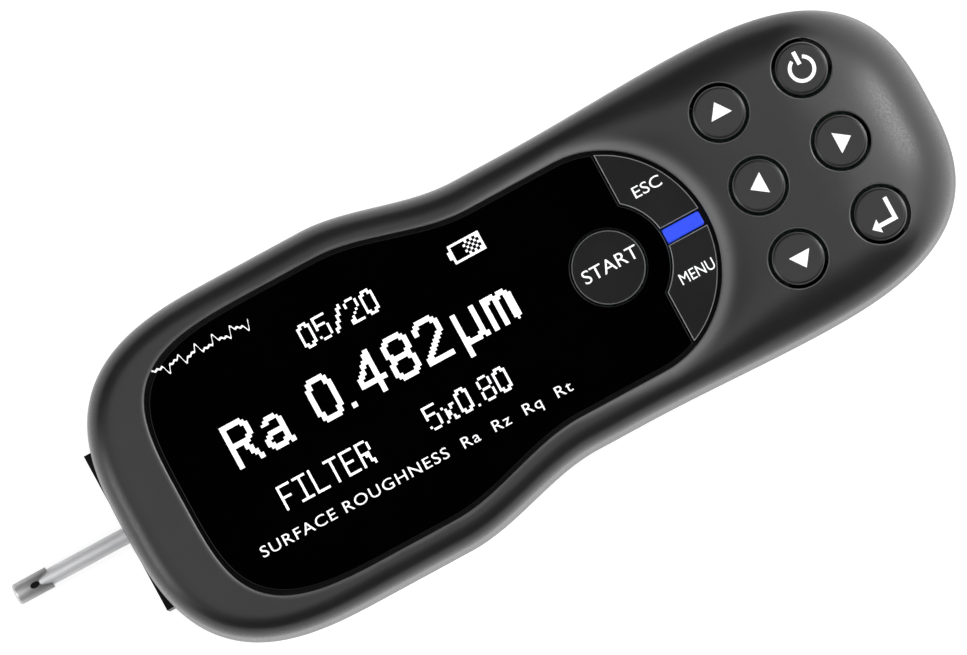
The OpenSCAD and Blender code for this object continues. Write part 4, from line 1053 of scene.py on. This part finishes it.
def coiled_rings(steps=28, count=10):
    """Rings of the spring's wire: each lies across a helix, spanned by the ways out and up."""
    turn = np.linspace(0, 2 * np.pi * COILS, COILS * steps + 1)
    out = np.column_stack([np.cos(turn), np.sin(turn), np.zeros(len(turn))])
    z = np.linspace(SPRING_Z[0] + WIRE, SPRING_Z[1] - WIRE, len(turn))
    middle = out * SPRING_RADIUS + np.column_stack([np.tile(SPRING_SPOT, (len(turn), 1)), z])
    a = full_turn(count)[:, None]
    return middle[:, None] + WIRE * (np.cos(a) * out[:, None] + np.sin(a) * np.array([0, 0, 1.0]))


nut_section = [
    (NUT_BORE, NUT_X[0]), (NUT_RADIUS - CHAMFER, NUT_X[0]), (NUT_RADIUS, NUT_X[0] + CHAMFER),
    (NUT_RADIUS, FLANGE_X), (FLANGE_RADIUS - CHAMFER, FLANGE_X), (FLANGE_RADIUS, FLANGE_X + CHAMFER),
    (FLANGE_RADIUS, NUT_X[1] - CHAMFER), (FLANGE_RADIUS - CHAMFER, NUT_X[1]), (NUT_BORE, NUT_X[1]),
]
screw = stacked("threaded_screw", threaded_rings())
nut = turned("flanged_nut", nut_section, (0, 0, DRIVE_Z), "x", 72, joined=True)
spring = stacked("coiled_spring", coiled_rings())
dress(screw, "screw", "steel", "lead_screw")
dress(nut, "carriage", "brass", "lead_nut")
dress(spring, "carriage", "steel", "float_spring")
print("drive:", ", ".join(f"{piece.name} {len(piece.data.polygons)}" for piece in (screw, nut, spring)))

# %% [markdown]
# ## Shared effects for the finishes
# Moulded plastic, turned steel and anodised metal all vary a little over their surface. Three node groups
# carry that: a fine grain, as a height for bump and as a mask for roughness, a slow drift, as a cloudy
# value for colour, and a lighter colour along marked rims, as a patchy mask, which on the cover and the
# keys is a painted highlight and on the pickup's nose a paler front. Each material places them with its
# own values and keeps its own shader.

# %% Node groups
def new_group(name, inputs, outputs):
    """An empty shader group with float sockets, and its two end nodes."""
    group = bpy.data.node_groups.new(name, "ShaderNodeTree")
    group.interface.new_socket("Vector", in_out="INPUT", socket_type="NodeSocketVector")
    for label, value in inputs:
        group.interface.new_socket(label, in_out="INPUT", socket_type="NodeSocketFloat").default_value = value
    for label in outputs:
        group.interface.new_socket(label, in_out="OUTPUT", socket_type="NodeSocketFloat")
    return group, group.nodes.new("NodeGroupInput"), group.nodes.new("NodeGroupOutput")


def noise(group, source, detail, roughness):
    """A noise node fed by the group's vector and scale."""
    node = group.nodes.new("ShaderNodeTexNoise")
    node.inputs["Detail"].default_value = detail
    node.inputs["Roughness"].default_value = roughness
    group.links.new(source.outputs["Vector"], node.inputs["Vector"])
    group.links.new(source.outputs["Scale"], node.inputs["Scale"])
    return node.outputs["Fac"]


def maths(tree, operation, first, second=None):
    """A maths node on two sockets or numbers."""
    node = tree.nodes.new("ShaderNodeMath")
    node.operation = operation
    for socket, value in zip(node.inputs, (first, second)):
        if isinstance(value, (int, float)):
            socket.default_value = value
        elif value is not None:
            tree.links.new(value, socket)
    return node.outputs[0]


def spread(tree, value, low, high, to_low=0.0, to_high=1.0):
    """A smooth step of a value, from one level at low to another at high."""
    node = tree.nodes.new("ShaderNodeMapRange")
    node.interpolation_type = "SMOOTHSTEP"
    for label, number in zip(("From Min", "From Max", "To Min", "To Max"), (low, high, to_low, to_high)):
        node.inputs[label].default_value = number
    tree.links.new(value, node.inputs["Value"])
    return node.outputs["Result"]


grain_group, grain_in, grain_out = new_group("fine_grain", [("Scale", 4000)], ["Height", "Mask"])
grain_noise = noise(grain_group, grain_in, 2, 0.6)
grain_group.links.new(grain_noise, grain_out.inputs["Height"])
grain_group.links.new(spread(grain_group, grain_noise, 0.35, 0.65), grain_out.inputs["Mask"])

drift_group, drift_in, drift_out = new_group("slow_drift", [("Scale", 40)], ["Value"])
drift_noise = noise(drift_group, drift_in, 4, 0.55)
drift_group.links.new(spread(drift_group, drift_noise, 0.3, 0.7), drift_out.inputs["Value"])

# The marked rim, broken into patches by noise: the mask of the lighter rim colour, a painted highlight on the
# cover and the keys.
rim_tone_group, rim_tone_in, rim_tone_out = new_group("edge_wear", [("Scale", 900), ("Rim", 0)], ["Mask"])
patches = spread(rim_tone_group, noise(rim_tone_group, rim_tone_in, 3, 0.6), 0.0, 0.4)
rim_tone_mask = maths(rim_tone_group, "MULTIPLY", rim_tone_in.outputs["Rim"], patches)
rim_tone_group.links.new(rim_tone_mask, rim_tone_out.inputs["Mask"])
print("groups:", grain_group.name, drift_group.name, rim_tone_group.name)

# %% [markdown]
# ## The finishes
# One recipe serves them all: two near tones that the slow drift mixes, a roughness that the grain breaks
# up, and a fine bump. What differs is written in a table: tones, roughness range, metal or not, grain
# size and depth, and the lighter colour of a marked rim where a piece has one, which on the cover and the
# keys is a painted highlight.

# %% Materials
DRIFT_SCALE = 60


def level(*rgb):
    """A colour with its alpha."""
    return (*rgb, 1.0)


def finish(
    name, tones, rough, metal=0.0, grain=3000, depth=0.02,
    stretch=(1, 1, 1), glow=0.0, specular=0.5, rim_tone=None,
):
    """A procedural finish: drift mixes two tones, grain mixes two roughnesses and drives the bump, and
    a marked rim goes over to a lighter tone, a painted highlight on the cover and the keys."""
    material = bpy.data.materials.new(name)
    material.use_nodes = True
    nodes, links = material.node_tree.nodes, material.node_tree.links
    shader = nodes["Principled BSDF"]
    coordinates, mapping = nodes.new("ShaderNodeTexCoord"), nodes.new("ShaderNodeMapping")
    mapping.inputs["Scale"].default_value = stretch
    links.new(coordinates.outputs["Object"], mapping.inputs["Vector"])
    placed = {}
    for group, scale in ((grain_group, grain), (drift_group, DRIFT_SCALE)):
        node = nodes.new("ShaderNodeGroup")
        node.node_tree = group
        node.inputs["Scale"].default_value = scale
        links.new(mapping.outputs["Vector"], node.inputs["Vector"])
        placed[group.name] = node
    tone = nodes.new("ShaderNodeMix")
    tone.data_type = "RGBA"
    tone.inputs["A"].default_value, tone.inputs["B"].default_value = level(*tones[0]), level(*tones[1])
    links.new(placed["slow_drift"].outputs["Value"], tone.inputs["Factor"])
    colour = tone.outputs["Result"]
    # The marked rim goes over to a lighter tone: a painted highlight on the cover and the keys, a paler front
    # on the nose.
    if rim_tone:
        rim, rim_patches, rim_lightening = (nodes.new(f"ShaderNode{kind}") for kind in ("Attribute", "Group", "Mix"))
        rim.attribute_name = "rim"
        rim_patches.node_tree = rim_tone_group
        rim_lightening.data_type = "RGBA"
        rim_lightening.inputs["B"].default_value = level(rim_tone, rim_tone, rim_tone)
        links.new(mapping.outputs["Vector"], rim_patches.inputs["Vector"])
        links.new(rim.outputs["Fac"], rim_patches.inputs["Rim"])
        links.new(rim_patches.outputs["Mask"], rim_lightening.inputs["Factor"])
        links.new(colour, rim_lightening.inputs["A"])
        colour = rim_lightening.outputs["Result"]
    links.new(colour, shader.inputs["Base Color"])
    broken = nodes.new("ShaderNodeMapRange")
    broken.inputs["To Min"].default_value, broken.inputs["To Max"].default_value = rough
    links.new(placed["fine_grain"].outputs["Mask"], broken.inputs["Value"])
    links.new(broken.outputs["Result"], shader.inputs["Roughness"])
    if depth:
        bump = nodes.new("ShaderNodeBump")
        bump.inputs["Strength"].default_value = 1.0
        bump.inputs["Distance"].default_value = depth * MM
        links.new(placed["fine_grain"].outputs["Height"], bump.inputs["Height"])
        links.new(bump.outputs["Normal"], shader.inputs["Normal"])
    if glow:
        links.new(tone.outputs["Result"], shader.inputs["Emission Color"])
        shader.inputs["Emission Strength"].default_value = glow
    shader.inputs["Metallic"].default_value = metal
    shader.inputs["Specular IOR Level"].default_value = specular
    return material


def grey(low, high):
    """Two neutral tones."""
    return ((low, low, low * 1.02), (high, high, high * 1.02))


# The lighter rim tone is a painted highlight on the soft grey shell and the keys, and a paler front on the
# dark steel nose.
LOOKS = {
    "soft_grey_shell": dict(
        tones=grey(0.010, 0.013), rough=(0.31, 0.41), grain=3800, depth=0.012, rim_tone=0.118,
    ),
    "black_shell": dict(tones=grey(0.010, 0.014), rough=(0.38, 0.52), grain=3600, depth=0.010),
    "lens": dict(tones=grey(0.0003, 0.0005), rough=(0.03, 0.05), grain=900, depth=0.0),
    "display": dict(tones=grey(0.004, 0.006), rough=(0.08, 0.14), grain=900, depth=0.0),
    "black_plastic": dict(
        tones=grey(0.004, 0.006), rough=(0.4, 0.55), grain=2600, depth=0.006, specular=0.12,
    ),
    "board": dict(
        tones=((0.006, 0.06, 0.025), (0.01, 0.085, 0.035)), rough=(0.25, 0.4), grain=2000, depth=0.004,
    ),
    "dark_key": dict(
        tones=grey(0.009, 0.013), rough=(0.5, 0.6), grain=3600, depth=0.008, specular=0.1, rim_tone=0.27,
    ),
    "grey_key": dict(tones=grey(0.009, 0.012), rough=(0.33, 0.43), grain=5200, depth=0.005, rim_tone=0.09),
    "blue_light": dict(
        tones=((0.018, 0.043, 0.47), (0.022, 0.05, 0.52)), rough=(0.15, 0.25),
        depth=0.0, glow=0.9, specular=0.2,
    ),
    "black_anodised": dict(
        tones=grey(0.006, 0.009), rough=(0.35, 0.5), metal=0.2, grain=2600, depth=0.008, specular=0.1,
    ),
    "steel": dict(
        tones=grey(0.93, 0.98), rough=(0.34, 0.46), metal=0.25,
        grain=1800, depth=0.003, stretch=(0.12, 1, 1),
    ),
    "dark_steel": dict(
        tones=grey(0.26, 0.33), rough=(0.36, 0.48), metal=0.5, grain=2600, depth=0.005, rim_tone=0.62,
    ),
    "bare_aluminium": dict(
        tones=grey(0.62, 0.7), rough=(0.26, 0.4), metal=1.0, grain=1500, depth=0.006, stretch=(1, 0.15, 1),
    ),
    "brass": dict(
        tones=((0.60, 0.42, 0.17), (0.70, 0.50, 0.21)), rough=(0.2, 0.34),
        metal=1.0, grain=1800, depth=0.004,
    ),
    "copper": dict(
        tones=((0.52, 0.2, 0.09), (0.62, 0.27, 0.13)), rough=(0.25, 0.4), metal=1.0,
        grain=2400, depth=0.01, stretch=(6, 1, 1),
    ),
    "cell_sleeve": dict(
        tones=((0.02, 0.05, 0.2), (0.03, 0.07, 0.26)), rough=(0.2, 0.3), grain=1200, depth=0.004,
    ),
    "black_screw": dict(tones=grey(0.014, 0.022), rough=(0.3, 0.45), metal=0.8, grain=2600, depth=0.008),
}
FINISHES = {name: finish(name, **look) for name, look in LOOKS.items()}
# The white print glows faintly: painted light that keeps the printed legends and lens print bright white.
ink_white = finish("ink_white", grey(0.80, 0.86), (0.45, 0.6), grain=5000, depth=0.0, glow=0.35)
dot_white = finish("dot_white", grey(0.92, 1.0), (0.3, 0.4), grain=4000, depth=0.0, glow=0.3)


def paint(piece, material):
    """One material on a whole piece."""
    piece.data.materials.clear()
    piece.data.materials.append(material)


for row in frame["record"]["subparts"]:
    paint(frame["nodes"][row["node"]], FINISHES[row["material_slot"]])
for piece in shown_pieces():
    if piece.get("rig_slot"):
        paint(piece, FINISHES[piece["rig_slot"]])
# Black plastic on the cover's bare faces; on its pocket floor and inside the nose's bore it is painted shade.
for piece, dark in ((upper_shell, bare_and_painted_shade_faces(upper_shell)), (nose, chamber_faces(nose))):
    piece.data.materials.append(FINISHES["black_plastic"])
    piece.data.polygons.foreach_set("material_index", dark.astype(np.int32))
# The print takes the faintly glowing white, which is painted light.
for piece in (*legends, *lens_print):
    paint(piece, ink_white)
paint(display_dots, dot_white)
print("finishes:", len(FINISHES) + 2)

# %% [markdown]
# ## Stage and light
# The tester lies in a light tent: a white floor, a long strip of soft light overhead that grows towards
# the keypad, a bright panel low at the keypad's end and a weaker one at the front. The two long sides
# stay dark, which draws the dark bands along the flanks. A small gap overhead, where the lens of the
# camera looks in, keeps the polished display black. The housing takes light from the pickup, so a broad,
# soft lamp in front fills in what is matte. It is left out of reflections, where it would show as a
# second strip.

# %% Floor
FLOOR_GREY, FLOOR_ROUGHNESS = 0.4, 0.9
FLOOR_HALF, FLOOR_DROP, FLOOR_LIFT = 3.0, 0.0002, 0.8
floor_mesh = bpy.data.meshes.new("floor")
square = np.array([[-1, -1, 0], [1, -1, 0], [1, 1, 0], [-1, 1, 0]], float) * FLOOR_HALF
floor_mesh.from_pydata((square - [0, 0, FLOOR_DROP]).tolist(), [], [[0, 1, 2, 3]])
floor = bpy.data.objects.new("floor", floor_mesh)
bpy.context.scene.collection.objects.link(floor)
floor_paper = bpy.data.materials.new("floor_paper")
floor_paper.use_nodes = True
nodes, links = floor_paper.node_tree.nodes, floor_paper.node_tree.links
paper = nodes["Principled BSDF"]
paper.inputs["Base Color"].default_value = level(FLOOR_GREY, FLOOR_GREY, FLOOR_GREY)
paper.inputs["Roughness"].default_value = FLOOR_ROUGHNESS
paper.inputs["Specular IOR Level"].default_value = 0.0
path = nodes.new("ShaderNodeLightPath").outputs
seen = maths(floor_paper.node_tree, "MAXIMUM", path["Is Camera Ray"], path["Is Glossy Ray"])
seen = maths(floor_paper.node_tree, "MAXIMUM", seen, path["Is Transmission Ray"])
lift = maths(floor_paper.node_tree, "MULTIPLY", seen, FLOOR_LIFT)
paper.inputs["Emission Color"].default_value = level(1, 1, 1)
links.new(lift, paper.inputs["Emission Strength"])
paint(floor, floor_paper)
print("floor:", 2 * FLOOR_HALF, "m wide")

# %% Tent
OVERHEAD, REAR_PANEL, FRONT_PANEL, SIDE_LEVEL = 2.2, 8.5, 4.6, 0.06
GAP_EDGE, SIDE_EDGE, PANEL_SIDE = (0.985, 0.996), (0.0, 0.5), (0.0, 0.3)
REAR_EDGE, FRONT_EDGE = (0.75, 0.995), (0.62, 0.95)
FALL, FALL_LEVELS = 0.6, (0.4, 1.6)
tent = bpy.data.worlds.new("tent")
bpy.context.scene.world = tent
tent.use_nodes = True
tree = tent.node_tree
sky = tree.nodes["Background"]
direction = tree.nodes.new("ShaderNodeSeparateXYZ")
tree.links.new(tree.nodes.new("ShaderNodeTexCoord").outputs["Generated"], direction.inputs["Vector"])
across, along = maths(tree, "ABSOLUTE", direction.outputs["Y"]), direction.outputs["X"]
gap = spread(tree, direction.outputs["Z"], *GAP_EDGE, 1.0, 0.0)
fall = spread(tree, along, -FALL, FALL, *FALL_LEVELS)
strip = maths(tree, "MULTIPLY", spread(tree, across, *SIDE_EDGE, OVERHEAD, 0.0), fall)
rear = spread(tree, along, *REAR_EDGE, 0.0, REAR_PANEL)
front = spread(tree, maths(tree, "MULTIPLY", along, -1), *FRONT_EDGE, 0.0, FRONT_PANEL)
panels = maths(tree, "MULTIPLY", maths(tree, "ADD", rear, front), spread(tree, across, *PANEL_SIDE, 1.0, 0.0))
lit = maths(tree, "ADD", maths(tree, "ADD", strip, panels), SIDE_LEVEL)
shown = tree.nodes.new("ShaderNodeMix")
shown.data_type = "FLOAT"
tree.links.new(tree.nodes.new("ShaderNodeLightPath").outputs["Is Camera Ray"], shown.inputs["Factor"])
tree.links.new(maths(tree, "MULTIPLY", lit, gap), shown.inputs["A"])
shown.inputs["B"].default_value = 1.0
tree.links.new(shown.outputs["Result"], sky.inputs["Strength"])
sky.inputs["Color"].default_value = level(1, 1, 1)
print("tent: overhead", OVERHEAD, "rear", REAR_PANEL, "front", FRONT_PANEL, "sides", SIDE_LEVEL)

# %% Fill lamp
FILL_ENERGY, FILL_ANGLE, FILL_FROM = 0.9, 70, (-0.6, 0.0, 0.8)
fill = bpy.data.lights.new("fill", "SUN")
fill.energy, fill.angle = FILL_ENERGY, math.radians(FILL_ANGLE)
fill_lamp = bpy.data.objects.new("fill", fill)
fill_lamp.rotation_euler = Vector(FILL_FROM).to_track_quat("Z", "Y").to_euler()
fill_lamp.visible_glossy = False
bpy.context.scene.collection.objects.link(fill_lamp)
print("fill lamp:", FILL_ENERGY)
